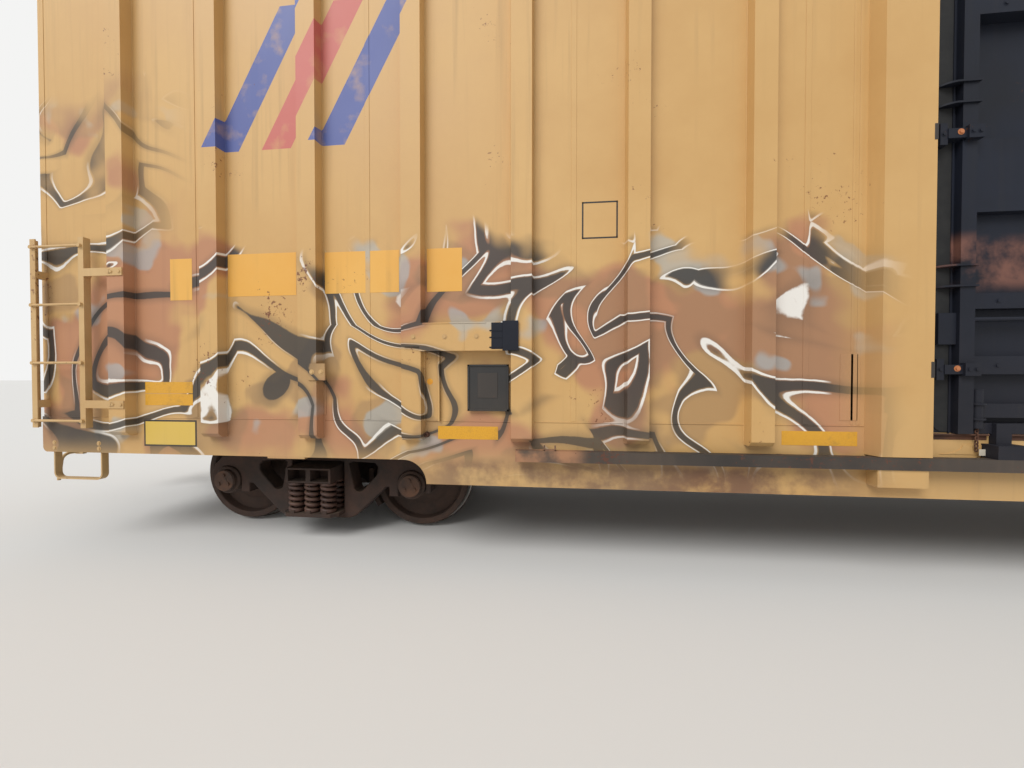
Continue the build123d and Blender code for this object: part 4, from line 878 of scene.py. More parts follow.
class Form:
    """Closed shapes gathered in one mesh, in metres, drawn where X and Y are positive."""

    def __init__(self) -> None:
        """Start with nothing."""
        self.mesh = bmesh.new()

    def box(self, x: Span, y: Span, z: Span, edge: float = 0.0015, segments: int = 1) -> None:
        """Add a block with its edges broken.

        Args:
            x: its two places along the car.
            y: its two distances from the middle.
            z: its two heights.
            edge: the width that is taken off each edge.
            segments: the facets on each edge.
        """
        corners = bmesh.ops.create_cube(self.mesh, size=1.0)["verts"]
        low = Vector((min(x), min(y), min(z)))
        high = Vector((max(x), max(y), max(z)))
        for corner in corners:
            corner.co = Vector(low[k] + (corner.co[k] + 0.5) * (high[k] - low[k]) for k in range(3))
        if edge:
            edges = list({edge_of for corner in corners for edge_of in corner.link_edges})
            width = min(edge, 0.45 * min(high - low))
            bmesh.ops.bevel(
                self.mesh, geom=edges, offset=width, segments=segments, affect="EDGES", profile=0.5
            )

    def lay(self, x: Span, z: Span, thick: float, edge: float = 0.0015, on: float = SHEET_Y) -> None:
        """Lay a flat block on the sheet, or on a face further out.

        Args:
            x: its two places along the car.
            z: its two heights.
            thick: how far it stands out.
            edge: the width that is taken off each edge.
            on: the distance of the face below it from the middle.
        """
        self.box(x, (on, on + thick), z, edge)

    def rod(self, start: Point, end: Point, radius: float, sides: int = 16) -> None:
        """Add a round bar."""
        run = Vector(end) - Vector(start)
        turn = run.to_track_quat("Z", "Y").to_matrix().to_4x4()
        place = Matrix.Translation(Vector(start) + run / 2) @ turn
        made = bmesh.ops.create_cone(
            self.mesh,
            cap_ends=True,
            segments=sides,
            radius1=radius,
            radius2=radius,
            depth=run.length,
            matrix=place,
        )
        for face in {face for corner in made["verts"] for face in corner.link_faces}:
            face.smooth = len(face.verts) == 4

    def plate(self, outline: Sequence[Span], y: Span) -> None:
        """Add a flat plate from its outline along the car and up, between two distances."""
        corners = [self.mesh.verts.new((x, min(y), z)) for x, z in outline]
        face = self.mesh.faces.new(corners)
        grown = bmesh.ops.extrude_face_region(self.mesh, geom=[face])["geom"]
        moved = [part for part in grown if isinstance(part, bmesh.types.BMVert)]
        bmesh.ops.translate(self.mesh, verts=moved, vec=(0.0, max(y) - min(y), 0.0))
        around = {face_of for corner in corners + moved for face_of in corner.link_faces}
        bmesh.ops.recalc_face_normals(self.mesh, faces=list(around))

    def bent_rod(self, points: Iterable[Point], radius: float, sides: int = 10) -> None:
        """Add a round bar bent smoothly along some points."""
        curve = bpy.data.curves.new("bar", "CURVE")
        curve.dimensions = "3D"
        curve.bevel_depth = radius
        curve.bevel_resolution = max(sides // 4, 1)
        curve.resolution_u = 6
        curve.use_fill_caps = True
        route = list(points)
        spline = curve.splines.new("NURBS")
        spline.points.add(len(route) - 1)
        for knot, place in zip(spline.points, route):
            knot.co = (*place, 1.0)
        spline.order_u = 3
        spline.use_endpoint_u = True
        helper = bpy.data.objects.new("bar", curve)
        bent = bpy.data.meshes.new_from_object(helper)
        self.mesh.from_mesh(bent)
        bpy.data.objects.remove(helper)
        bpy.data.curves.remove(curve)

    def make(
        self, name: str, finish: Finish, quarters: Iterable[Quarter] = ALL_QUARTERS, body: str = "carbody"
    ) -> None:
        """Turn the form into one piece, repeated in each quarter.

        Args:
            name: the piece's name.
            finish: what it is dressed in.
            quarters: where it stands.
            body: the CAD body that it rides on.
        """
        whole = bmesh.new()
        source = bpy.data.meshes.new(name + "_quarter")
        self.mesh.to_mesh(source)
        for quarter in quarters:
            signs = quarter.value
            copy = source.copy()
            copy.transform(Matrix.Diagonal((signs[0], signs[1], 1.0, 1.0)))
            if signs[0] * signs[1] < 0:
                copy.flip_normals()
            whole.from_mesh(copy)
            bpy.data.meshes.remove(copy)
        bpy.data.meshes.remove(source)
        mesh = bpy.data.meshes.new(name)
        whole.to_mesh(mesh)
        whole.free()
        self.mesh.free()
        settle(name, mesh, finish, body)


def settle(name: str, mesh: Mesh, finish: Finish, body: str) -> Piece:
    """Make a piece of a finished mesh and let it ride on its body.

    Args:
        name: the piece's name.
        mesh: its mesh, in place.
        finish: what it is dressed in.
        body: the CAD body that it rides on.

    Returns:
        The piece.
    """
    piece = stand(name, mesh)
    mesh.materials.clear()
    mesh.materials.append(finish.material())
    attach(piece, body)
    LOG.info("%s: %d faces on %s", name, len(mesh.polygons), body)
    return piece


class GrownForm:
    """A Geometry Nodes tree that turns marked points or paths into pieces."""

    def __init__(self, name: str, sizes: dict[str, float]) -> None:
        """Start the tree with its named inputs.

        Args:
            name: the tree's name.
            sizes: each size's name and value.
        """
        self.tree = bpy.data.node_groups.new(name, "GeometryNodeTree")
        self.sizes = sizes
        face = self.tree.interface
        face.new_socket("Geometry", in_out="INPUT", socket_type="NodeSocketGeometry")
        for size in sizes:
            face.new_socket(size, in_out="INPUT", socket_type="NodeSocketFloat")
        face.new_socket("Material", in_out="INPUT", socket_type="NodeSocketMaterial")
        face.new_socket("Geometry", in_out="OUTPUT", socket_type="NodeSocketGeometry")
        self.given = add(self.tree, "NodeGroupInput")

    def close(self, geometry: Node) -> None:
        """End the tree in realized, dressed geometry."""
        real = add(self.tree, "GeometryNodeRealizeInstances", {"Geometry": geometry})
        dressed = add(
            self.tree,
            "GeometryNodeSetMaterial",
            {"Geometry": real, "Material": self.given.outputs["Material"]},
        )
        add(self.tree, "NodeGroupOutput", {"Geometry": dressed})

    def grow(self, name: str, seeds: Mesh, finish: Finish, body: str = "carbody") -> Piece:
        """Run the tree over some seeds and keep the result as a plain mesh.

        Args:
            name: the piece's name.
            seeds: the mesh of points or paths.
            finish: what the tree dresses it in.
            body: the CAD body that it rides on.

        Returns:
            The piece.
        """
        helper = stand(name + "_seeds", seeds)
        growth = helper.modifiers.new("growth", "NODES")
        growth.node_group = self.tree
        sockets = {
            item.name: item.identifier
            for item in self.tree.interface.items_tree
            if item.in_out == "INPUT"
        }
        for size, value in self.sizes.items():
            growth[sockets[size]] = value
        growth[sockets["Material"]] = finish.material()
        graph = bpy.context.evaluated_depsgraph_get()
        grown = bpy.data.meshes.new_from_object(helper.evaluated_get(graph))
        helper.modifiers.remove(growth)
        bpy.data.objects.remove(helper)
        grown.name = name
        return settle(name, grown, finish, body)


def joined(tree: Tree, parts: Sequence[Node]) -> Node:
    """Join some geometry into one."""
    whole = add(tree, "GeometryNodeJoinGeometry")
    for part in parts:
        tree.links.new(part.outputs[0], whole.inputs[0])
    return whole


def raised(tree: Tree, geometry: Node, height: Value) -> Node:
    """Move some geometry up."""
    offset = add(tree, "ShaderNodeCombineXYZ", {"Z": height})
    return add(tree, "GeometryNodeTransform", {"Geometry": geometry, "Translation": offset})


class BoltHeads(GrownForm):
    """Hexagon heads on washers, one at each seed point, facing along its "facing" vector."""

    # the washer's size as a share of the head's
    washer_wide: float = 1.55
    washer_thick: float = 0.4

    def __init__(self, radius: float, height: float) -> None:
        """Build the tree for one size of bolt."""
        sizes = {"Head radius": radius, "Head height": height}
        super().__init__(f"bolt_heads_{radius * 1000:.0f}", sizes)
        tree = self.tree
        places, wide, high = self.given.outputs[:3]
        head = add(tree, "GeometryNodeMeshCylinder", {"Vertices": 6, "Radius": wide, "Depth": high})
        head_up = raised(tree, head, product(tree, high, 0.5))
        around = product(tree, wide, self.washer_wide)
        thick = product(tree, high, self.washer_thick)
        washer = add(tree, "GeometryNodeMeshCylinder", {"Vertices": 12, "Radius": around, "Depth": thick})
        bolt = joined(tree, (head_up, washer))
        facing = add(
            tree, "GeometryNodeInputNamedAttribute", {"Name": "facing"}, data_type="FLOAT_VECTOR"
        )
        way = facing.outputs["Attribute"]
        turn = add(tree, "FunctionNodeAlignRotationToVector", {"Vector": way}, axis="Z")
        standing = {"Points": places, "Instance": bolt, "Rotation": turn}
        self.close(add(tree, "GeometryNodeInstanceOnPoints", standing))


class WeldBeads(GrownForm):
    """Weld metal laid along seed edges: a low uneven ridge."""

    step: float = 0.030
    # the bead's radius swells between these shares of its size
    swell: Span = (0.75, 1.2)

    def __init__(self, radius: float) -> None:
        """Build the tree for one size of bead."""
        super().__init__(f"weld_beads_{radius * 1000:.0f}", {"Bead radius": radius, "Step": self.step})
        tree = self.tree
        seeds, wide, step = self.given.outputs[:3]
        path = add(tree, "GeometryNodeMeshToCurve", {"Mesh": seeds})
        steps = add(tree, "GeometryNodeResampleCurve", {"Curve": path, "Length": step}, mode="LENGTH")
        ripple = add(tree, "ShaderNodeTexNoise", {"Scale": 37.0, "Detail": 1.0})
        swell = ramp(tree, ripple, 0.3, 0.7, *self.swell)
        section = add(tree, "GeometryNodeCurvePrimitiveCircle", {"Resolution": 6, "Radius": wide})
        swollen = add(tree, "GeometryNodeSetCurveRadius", {"Curve": steps, "Radius": swell})
        bead = {"Curve": swollen, "Profile Curve": section, "Fill Caps": True}
        whole = add(tree, "GeometryNodeCurveToMesh", bead)
        self.close(add(tree, "GeometryNodeSetShadeSmooth", {"Geometry": whole}))


class CoilSprings(GrownForm):
    """Two wound coils, one inside the other, standing on each seed point."""

    # share of the outer radius, share of the wire, turns, points a turn
    coils: tuple[tuple[float, float, float, int], ...] = ((1.0, 1.0, 5.0, 20), (0.52, 0.55, 8.0, 14))

    def __init__(self, height: float, outer: float, wire: float) -> None:
        """Build the tree.

        Args:
            height: between the seats.
            outer: the outer coil's outside radius.
            wire: the outer coil's wire diameter.
        """
        super().__init__("coil_springs", {"Height": height, "Outer radius": outer, "Wire": wire})
        tree = self.tree
        places, high, wide, thick = self.given.outputs[:4]
        coils = []
        for radius_share, wire_share, turns, steps in self.coils:
            half_wire = product(tree, thick, wire_share / 2)
            out = product(tree, wide, radius_share)
            middle = maths(tree, "SUBTRACT", out, half_wire)
            rise = maths(tree, "MULTIPLY_ADD", half_wire, -2.0, high)
            turned = {"Resolution": steps, "Rotations": turns, "Height": rise}
            radii = {"Start Radius": middle, "End Radius": middle}
            line = add(tree, "GeometryNodeCurveSpiral", {**turned, **radii})
            # the end turns are closed and ground flat
            rings = [raised(tree, line, half_wire)]
            for level in (half_wire, maths(tree, "ADD", rise, half_wire)):
                ring_size = {"Resolution": steps, "Radius": middle}
                ring = add(tree, "GeometryNodeCurvePrimitiveCircle", ring_size)
                rings.append(raised(tree, ring, level))
            section_size = {"Resolution": 8, "Radius": half_wire}
            section = add(tree, "GeometryNodeCurvePrimitiveCircle", section_size)
            swept = {"Curve": joined(tree, rings), "Profile Curve": section, "Fill Caps": True}
            coils.append(add(tree, "GeometryNodeCurveToMesh", swept))
        smooth = add(tree, "GeometryNodeSetShadeSmooth", {"Geometry": joined(tree, coils)})
        self.close(add(tree, "GeometryNodeInstanceOnPoints", {"Points": places, "Instance": smooth}))


def seed_points(name: str, places: Sequence[Point], facings: Sequence[Point]) -> Mesh:
    """Make a mesh of loose points, each with the way it faces."""
    mesh = bpy.data.meshes.new(name)
    mesh.from_pydata(list(places), [], [])
    facing = mesh.attributes.new("facing", "FLOAT_VECTOR", "POINT")
    for item, way in zip(facing.data, facings):
        item.vector = way
    return mesh


def seed_paths(name: str, paths: Lines) -> Mesh:
    """Make a mesh of separate straight edges."""
    mesh = bpy.data.meshes.new(name)
    points = [point for path in paths for point in path]
    mesh.from_pydata(points, [(2 * k, 2 * k + 1) for k in range(len(paths))], [])
    return mesh


def in_quarters(points: Sequence[Point]) -> list[Point]:
    """Repeat some places, or ways, in each quarter."""
    signs = [quarter.value for quarter in ALL_QUARTERS]
    return [(along * x, across * y, z) for along, across in signs for x, y, z in points]


def lines_in_quarters(starts: Sequence[Point], way: Point) -> Lines:
    """Repeat some starts, and the way that all of them run, in each quarter."""
    return list(zip(in_quarters(starts), in_quarters([way] * len(starts))))


@dataclass
class SideSheets:
    """The side's wall sheets: their laps and welds, and the plates, patches and tapes on them."""

    # lap seams, measured inboard from the truck's middle
    laps: tuple[float, ...] = (-0.79, 0.70, 2.29, 3.89)
    lap_width: float = 0.038
    lap_thick: float = 0.003
    wall: Span = (SEAM_Z + 0.006, WALL_TOP - 0.004)
    # the double lap beside the door post and the strip that closes the corner: place and width
    strips: tuple[Span, ...] = (
        (DOOR_POST_X + 0.030, 0.022), (DOOR_POST_X + 0.075, 0.016), (BODY_X - 0.075, 0.050)
    )
    # films: two places inboard, two heights above the rail
    patches: tuple[Area, ...] = (
        ((-1.010, -0.812), (2.05, 2.39)),
        ((-0.490, 0.102), (2.07, 2.41)),
        ((0.345, 0.953), (2.075, 2.40)),
        ((1.175, 1.450), (2.07, 2.40)),
    )
    tapes: tuple[Area, ...] = (
        ((-1.255, -0.817), (1.182, 1.276)),
        ((-1.255, -0.817), (1.282, 1.376)),
        ((1.260, 1.726), (0.940, 1.040)),
        ((3.738, 4.227), (0.937, 1.037)),
    )
    film: float = 0.0012
    film_edge: float = 0.0004
    # the blank plate on the sill with its border, and the framed square
    plate: Area = ((-1.270, -0.785), (0.84, 1.06))
    plate_rim: float = 0.014
    plate_thick: float = 0.0020
    square: Area = ((2.349, 2.607), (2.43, 2.70))
    square_bar: float = 0.011
    square_thick: float = 0.0010
    square_edge: float = 0.0003
    # welds: the bead's radius, its axis out of the sheet, and its ends below the seam and the top
    bead: float = 0.004
    bead_out: float = 0.001
    bead_ends: Span = (0.12, 0.05)
    posts: int = 7

    def build(self) -> None:
        """Build and dress everything on the sheets."""
        laps = Form()
        for lap in self.laps:
            laps.lay(about(inboard(lap), self.lap_width / 2), self.wall, self.lap_thick)
        for near, wide in self.strips:
            laps.lay((near, near + wide), self.wall, self.lap_thick)
        laps.make("sheet_laps", BODY_PAINT)
        for name, areas, finish, quarters in (
            ("bare_patches", self.patches, LIFTED_PATCH, MARKED_QUARTERS),
            ("reflective_tapes", self.tapes, TAPE, ALL_QUARTERS),
        ):
            films = Form()
            for along, up in areas:
                films.lay(inboard_span(*along), rail_span(*up), self.film, self.film_edge)
            films.make(name, finish, quarters)
        self.build_plates()
        self.build_seams()

    def build_plates(self) -> None:
        """Build the blank plates: the bordered one on the sill and the framed square one."""
        border, face, square = Form(), Form(), Form()
        (low_x, high_x), (low_z, high_z) = placed(self.plate)
        rim = self.plate_rim
        border.lay((low_x, high_x), (low_z, high_z), self.film, self.film_edge)
        inner = (low_x + rim, high_x - rim), (low_z + rim, high_z - rim)
        face.lay(*inner, self.plate_thick, self.film_edge)
        border.make("plate_border", PLATE_BLACK, MARKED_QUARTERS)
        face.make("plate_face", PLATE_YELLOW, MARKED_QUARTERS)
        (low_x, high_x), (low_z, high_z) = placed(self.square)
        bar = self.square_bar
        for x, z in (
            ((low_x, high_x), (low_z, low_z + bar)),
            ((low_x, high_x), (high_z - bar, high_z)),
            ((low_x, low_x + bar), (low_z, high_z)),
            ((high_x - bar, high_x), (low_z, high_z)),
        ):
            square.lay(x, z, self.square_thick, self.square_edge)
        square.make("square_frame", PLATE_BLACK, MARKED_QUARTERS)

    def build_seams(self) -> None:
        """Lay the welds: along the floor line between the posts, and up both sides of each post."""
        posts = [BODY_X - k * BAY for k in range(1, self.posts + 1)]
        edges = [BODY_X - 0.03]
        for post in posts:
            edges.extend((post + POST_HALF, post - POST_HALF))
        edges.append(DOOR_POST_X + 0.004)
        y = SHEET_Y + self.bead_out
        points: list[Point] = [(edge, y, SEAM_Z) for edge in edges]
        low, high = SEAM_Z - self.bead_ends[0], WALL_TOP - self.bead_ends[1]
        for post in posts:
            for x in about(post, POST_HALF + 0.001):
                points.extend(((x, y, low), (x, y, high)))
        welded = in_quarters(points)
        paths = list(zip(welded[::2], welded[1::2]))
        WeldBeads(self.bead).grow("side_welds", seed_paths("side_welds", paths), BODY_PAINT)


@dataclass
class SideFittings:
    """What is bolted or welded to the side: keeper latch, card board, brackets and sill pieces."""

    # the keeper's heights above the rail and its plate's thickness
    keeper: Span = (1.61, 1.82)
    keeper_plate: float = 0.012
    # along the car, inboard from the truck's middle
    latch_body: Span = (1.890, 1.772)
    latch_link: Span = (1.772, 1.690)
    latch_fins: Span = (1.772, 1.676)
    fin_levels: tuple[float, float, float] = (0.018, 0.090, 0.140)
    fin_thick: float = 0.010
    keeper_lip: Span = (1.650, 1.160)
    keeper_joint: Span = (1.488, 1.478)
    # the channel strip under the keeper: its place, its web, and its flanges' thickness and reach
    channel: Span = (1.280, 1.154)
    channel_web: float = 0.010
    channel_flange: Span = (0.014, 0.032)
    # the third post's bracket, its strip, and the welded-in patch near the door post
    bracket: Area = ((0.397, 0.258), (1.39, 1.52))
    bracket_strip: Area = ((0.350, 0.300), (1.118, 1.45))
    welded_patch: Area = ((4.225, 4.112), (1.113, 1.574))
    # the card board: its back, face and rim are this far out of the sheet
    board: Area = ((1.811, 1.498), (1.16, 1.51))
    board_out: Point = (0.020, 0.030, 0.036)
    board_rim: float = 0.015
    board_feet: Span = (1.20, 1.44)
    foot_size: float = 0.03
    holder: Area = ((1.727, 1.575), (1.258, 1.447))
    # the scorched spot's place, and how far out its disc begins and ends
    scorch: Span = (5.849, 1.407)
    scorch_out: Span = (0.0095, 0.0108)
    scorch_size: float = 0.024
    # the eye bolt: its place, and the radii of its shank, collar, ring and the ring's bar
    eye: Span = (5.874, 0.999)
    eye_shank: float = 0.008
    eye_collar: float = 0.022
    eye_ring: float = 0.016
    eye_bar: float = 0.005
    eye_out: float = 0.034
    # bolts: of the ladder clips, the sill steps, the keeper and the bracket
    clip_levels: Span = (1.192, 2.278)
    step_places: Span = (8.752, 9.186)
    step_levels: Span = (0.832, 0.878)
    keeper_bolts: Point = (1.10, 1.34, 1.58)
    keeper_bolt_level: float = 1.715
    bracket_bolts: Span = (0.29, 0.365)
    bracket_bolt_level: float = 1.455

    def build(self) -> None:
        """Build the fittings."""
        self.build_keeper()
        self.build_marks()
        self.build_board()
        self.build_sill()
        self.build_bolts()

    def build_keeper(self) -> None:
        """Build the keeper's latch, and the lips, channel, bracket and patch about it."""
        low, high = rail_span(*self.keeper)
        y = POST_Y + self.keeper_plate
        latch = Form()
        latch.box(inboard_span(*self.latch_body), (y, RAIL_Y), (low - 0.002, high + 0.006), 0.003, 2)
        latch.lay(inboard_span(*self.latch_link), (low + 0.010, high - 0.006), 0.0022, on=y)
        for level in self.fin_levels:
            fin = (low + level, low + level + self.fin_thick)
            latch.box(inboard_span(*self.latch_fins), (y, RAIL_Y - 0.001), fin, 0.002)
        latch.make("keeper_latches", DOOR_PAINT)
        lips = Form()
        lips.lay(inboard_span(*self.keeper_lip), (high - 0.010, high - 0.002), 0.004, on=y)
        lips.lay(inboard_span(*self.keeper_joint), (low + 0.004, high - 0.010), 0.002, on=y)
        web = inboard_span(*self.channel)
        flange, reach = self.channel_flange
        lips.lay(web, (SEAM_Z, low), self.channel_web, 0.002)
        for x in (web[0], web[1] - flange):
            lips.lay((x, x + flange), (SEAM_Z, low), reach, 0.002)
        lips.lay(*placed(self.bracket), 0.010, 0.002, on=POST_Y)
        lips.lay(*placed(self.bracket_strip), 0.008, 0.002)
        lips.lay(*placed(self.welded_patch), 0.003)
        lips.make("side_brackets", BODY_PAINT)

    def build_marks(self) -> None:
        """Build the scorched spot on the channel strip and the eye bolt on the sill."""
        spot = Form()
        x, z = self.scorch
        near, far = (SHEET_Y + out for out in self.scorch_out)
        spot.rod((x, near, z), (x, far, z), self.scorch_size, 13)
        spot.make("scorched_spots", SCORCHED, MARKED_QUARTERS)
        eye = Form()
        x, z = self.eye
        eye.rod((x, SHEET_Y - 0.001, z), (x, SHEET_Y + 0.030, z), self.eye_shank, 12)
        eye.rod((x, SHEET_Y, z), (x, SHEET_Y + 0.005, z), self.eye_collar, 20)
        size, y = self.eye_ring, SHEET_Y + self.eye_out
        eye.bent_rod(
            [(x + size * math.sin(a), y, z + size * math.cos(a)) for a in ONE_TURN], self.eye_bar, 8
        )
        eye.make("eye_bolts", RUSTY_STEEL)

    def build_board(self) -> None:
        """Build the card board on its feet, with a rim and a holder."""
        board = Form()
        x, z = placed(self.board)
        back, face, front = (SHEET_Y + out for out in self.board_out)
        rim, foot = self.board_rim, self.foot_size
        board.box(x, (back, face), z, 0.002)
        for foot_x in (x[0] + 0.02, x[1] - 0.05):
            for foot_z in rail_span(*self.board_feet):
                board.lay((foot_x, foot_x + foot), (foot_z, foot_z + foot), 0.021)
        for low in (z[0], z[1] - rim):
            board.box(x, (face, front), (low, low + rim))
        for near in (x[0], x[1] - rim):
            board.box((near, near + rim), (face, front), z)
        board.make("card_boards", PLATE_BLACK)
        holder = Form()
        holder.lay(*placed(self.holder), 0.003, on=face)
        holder.make("card_holders", RAIL_PAINT)

    def build_sill(self) -> None:
        """Build the end stops and the hooks of the lower door rail."""
        sill = Form()
        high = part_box("lower_rail_far")[1]
        low = high.z - 0.082
        stop = (high.x - 0.100, high.x - 0.002)
        sill.box(stop, (SHEET_Y, RAIL_Y - 0.014), (low + 0.012, low + 0.070), 0.003)
        hook = high.x - 0.25
        hook_y = (RAIL_Y - 0.040, RAIL_Y - 0.012)
        for x in (hook - 0.045, hook + 0.033):
            sill.box((x, x + 0.012), hook_y, (low + 0.080, low + 0.118), 0.002)
        sill.box(about(hook, 0.045), hook_y, (low + 0.080, low + 0.092), 0.002)
        sill.make("rail_stops", RAIL_PAINT)

    def build_bolts(self) -> None:
        """Place the bolts of the ladders, steps, keeper and brackets."""
        ladder_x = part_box("ladder_b_far")[0].x + 0.12
        clip_y = POST_Y + 0.008
        places: list[Point] = []
        for z in rail_span(*self.clip_levels):
            for x in (BODY_X - BAY + 0.03, BODY_X - BAY - 0.045, ladder_x):
                places.append((x, clip_y, z))
        places.extend((x, SHEET_Y, z) for x in self.step_places for z in self.step_levels)
        for bolts, out, level in (
            (self.keeper_bolts, self.keeper_plate, self.keeper_bolt_level),
            (self.bracket_bolts, 0.010, self.bracket_bolt_level),
        ):
            places.extend((inboard(x), POST_Y + out, above_rail(level)) for x in bolts)
        starts, ways = zip(*lines_in_quarters(places, OUTWARD))
        BoltHeads(0.013, 0.006).grow("side_bolts", seed_points("side_bolts", starts, ways), LADDER_PAINT)


class Surface:
    """The outside of some CAD nodes, on which small pieces are landed."""

    def __init__(self, *nodes: str) -> None:
        """Gather the nodes' faces."""
        self.trees = []
        for name in nodes:
            mesh = frame["nodes"][name].data
            corners = [corner.co.copy() for corner in mesh.vertices]
            faces = [tuple(face.vertices) for face in mesh.polygons]
            self.trees.append(BVHTree.FromPolygons(corners, faces))

    def land(self, start: Point, way: Point) -> tuple[Point, Point] | None:
        """Find where a line first meets the surface.

        Args:
            start: where the line starts.
            way: the way it runs.

        Returns:
            The place and the way that the surface faces there, or None where it misses.
        """
        hits = [tree.ray_cast(Vector(start), Vector(way).normalized()) for tree in self.trees]
        met = [hit for hit in hits if hit[0] is not None]
        if not met:
            return None
        place, normal, _, _ = min(met, key=lambda hit: hit[3])
        if normal.dot(Vector(way)) > 0:
            normal = -normal
        return tuple(place), tuple(normal)


def bolt_rows(name: str, surface: Surface, lines: Lines, bolt: BoltHeads, finish: Finish) -> None:
    """Land a bolt at the end of each line and make them one piece of the car body.

    Args:
        name: the piece's name.
        surface: what the bolts land on.
        lines: each bolt's start and the way it runs.
        bolt: the bolt's form.
        finish: what the piece is dressed in.
    """
    landed = [met for met in (surface.land(start, way) for start, way in lines) if met]
    places, ways = zip(*landed)
    bolt.grow(name, seed_points(name, places, ways), finish)


@dataclass
class TruckDetails:
    """What the trucks get beside their castings: wound springs, cap bolts, plates and seat lugs."""

    cap_bolt_circle: float = 0.052
    cap_bolts: int = 3
    # the cap's cover and its three-cornered locking plate: radius, thickness and sides
    cap_cover: tuple[float, float, int] = (0.094, 0.003, 40)
    lock_plate: tuple[float, float, int] = (0.064, 0.006, 3)
    spring_wire: float = 0.030
    spring_columns: Point = (-SPRING_PITCH, 0.0, SPRING_PITCH)
    lug_half: float = 0.022

    def build(self) -> None:
        """Build both trucks' details."""
        for end, sign in (("a", -1), ("b", 1)):
            self.build_springs(end, sign)
            for number in (1, 2):
                self.build_caps(f"axle_{end}{number}", f"wheelset_{end}{number}")
            self.build_lugs(end, sign)

    def build_springs(self, end: str, sign: int) -> None:
        """Wind the springs in place of the plain ones."""
        low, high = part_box(f"springs_{end}")
        places = [
            (sign * TRUCK_X + x, side * JOURNAL_Y + y, low.z + 0.0005)
            for side in (-1, 1)
            for x in self.spring_columns
            for y in self.spring_columns
        ]
        coils = CoilSprings(high.z - low.z - 0.001, SPRING_RADIUS - 0.001, self.spring_wire)
        seeds = seed_points("springs", places, [(0.0, 0.0, 1.0)] * len(places))
        springs = coils.grow(f"wound_springs_{end}", seeds, SPRING_STEEL, f"truck_{end}")
        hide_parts(f"springs_{end}")

    def build_caps(self, body: str, node: str) -> None:
        """Put bolts and a locking plate on both bearing caps of an axle."""
        x = sum(corner.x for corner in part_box(node)) / 2
        places: list[Point] = []
        ways: list[Point] = []
        plates = Form()
        for side in (-1, 1):
            for k in range(self.cap_bolts):
                angle = math.radians(90 + 360 * k / self.cap_bolts)
                along, up = self.cap_bolt_circle * math.cos(angle), self.cap_bolt_circle * math.sin(angle)
                places.append((x + along, side * CAP_Y, AXLE_Z + up))
                ways.append((0.0, float(side), 0.0))
            for (radius, thick, sides), sunk in ((self.cap_cover, 0.002), (self.lock_plate, 0.0)):
                start, end = (x, side * (CAP_Y - sunk), AXLE_Z), (x, side * (CAP_Y + thick), AXLE_Z)
                plates.rod(start, end, radius, sides)
        bolts = BoltHeads(0.016, 0.014)
        bolts.grow(f"cap_bolts_{body}", seed_points("cap_bolts", places, ways), CAP_STEEL, body)
        plates.make(f"cap_plates_{body}", CAP_STEEL, (Quarter.B_FAR,), body)

    def build_lugs(self, end: str, sign: int) -> None:
        """Put a seat lug before each outer spring."""
        lugs = Form()
        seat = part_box(f"springs_{end}")[0].z
        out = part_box(f"side_frame_{end}_far")[1].y
        for side in (-1, 1):
            for column in self.spring_columns:
                x = about(sign * TRUCK_X + column, self.lug_half)
                y = (side * (out - 0.010), side * (out - 0.001))
                lugs.box(x, y, (seat - 0.002, seat + 0.024), 0.002)
        lugs.make(f"seat_lugs_{end}", TRUCK_CASTING, (Quarter.B_FAR,), f"truck_{end}")


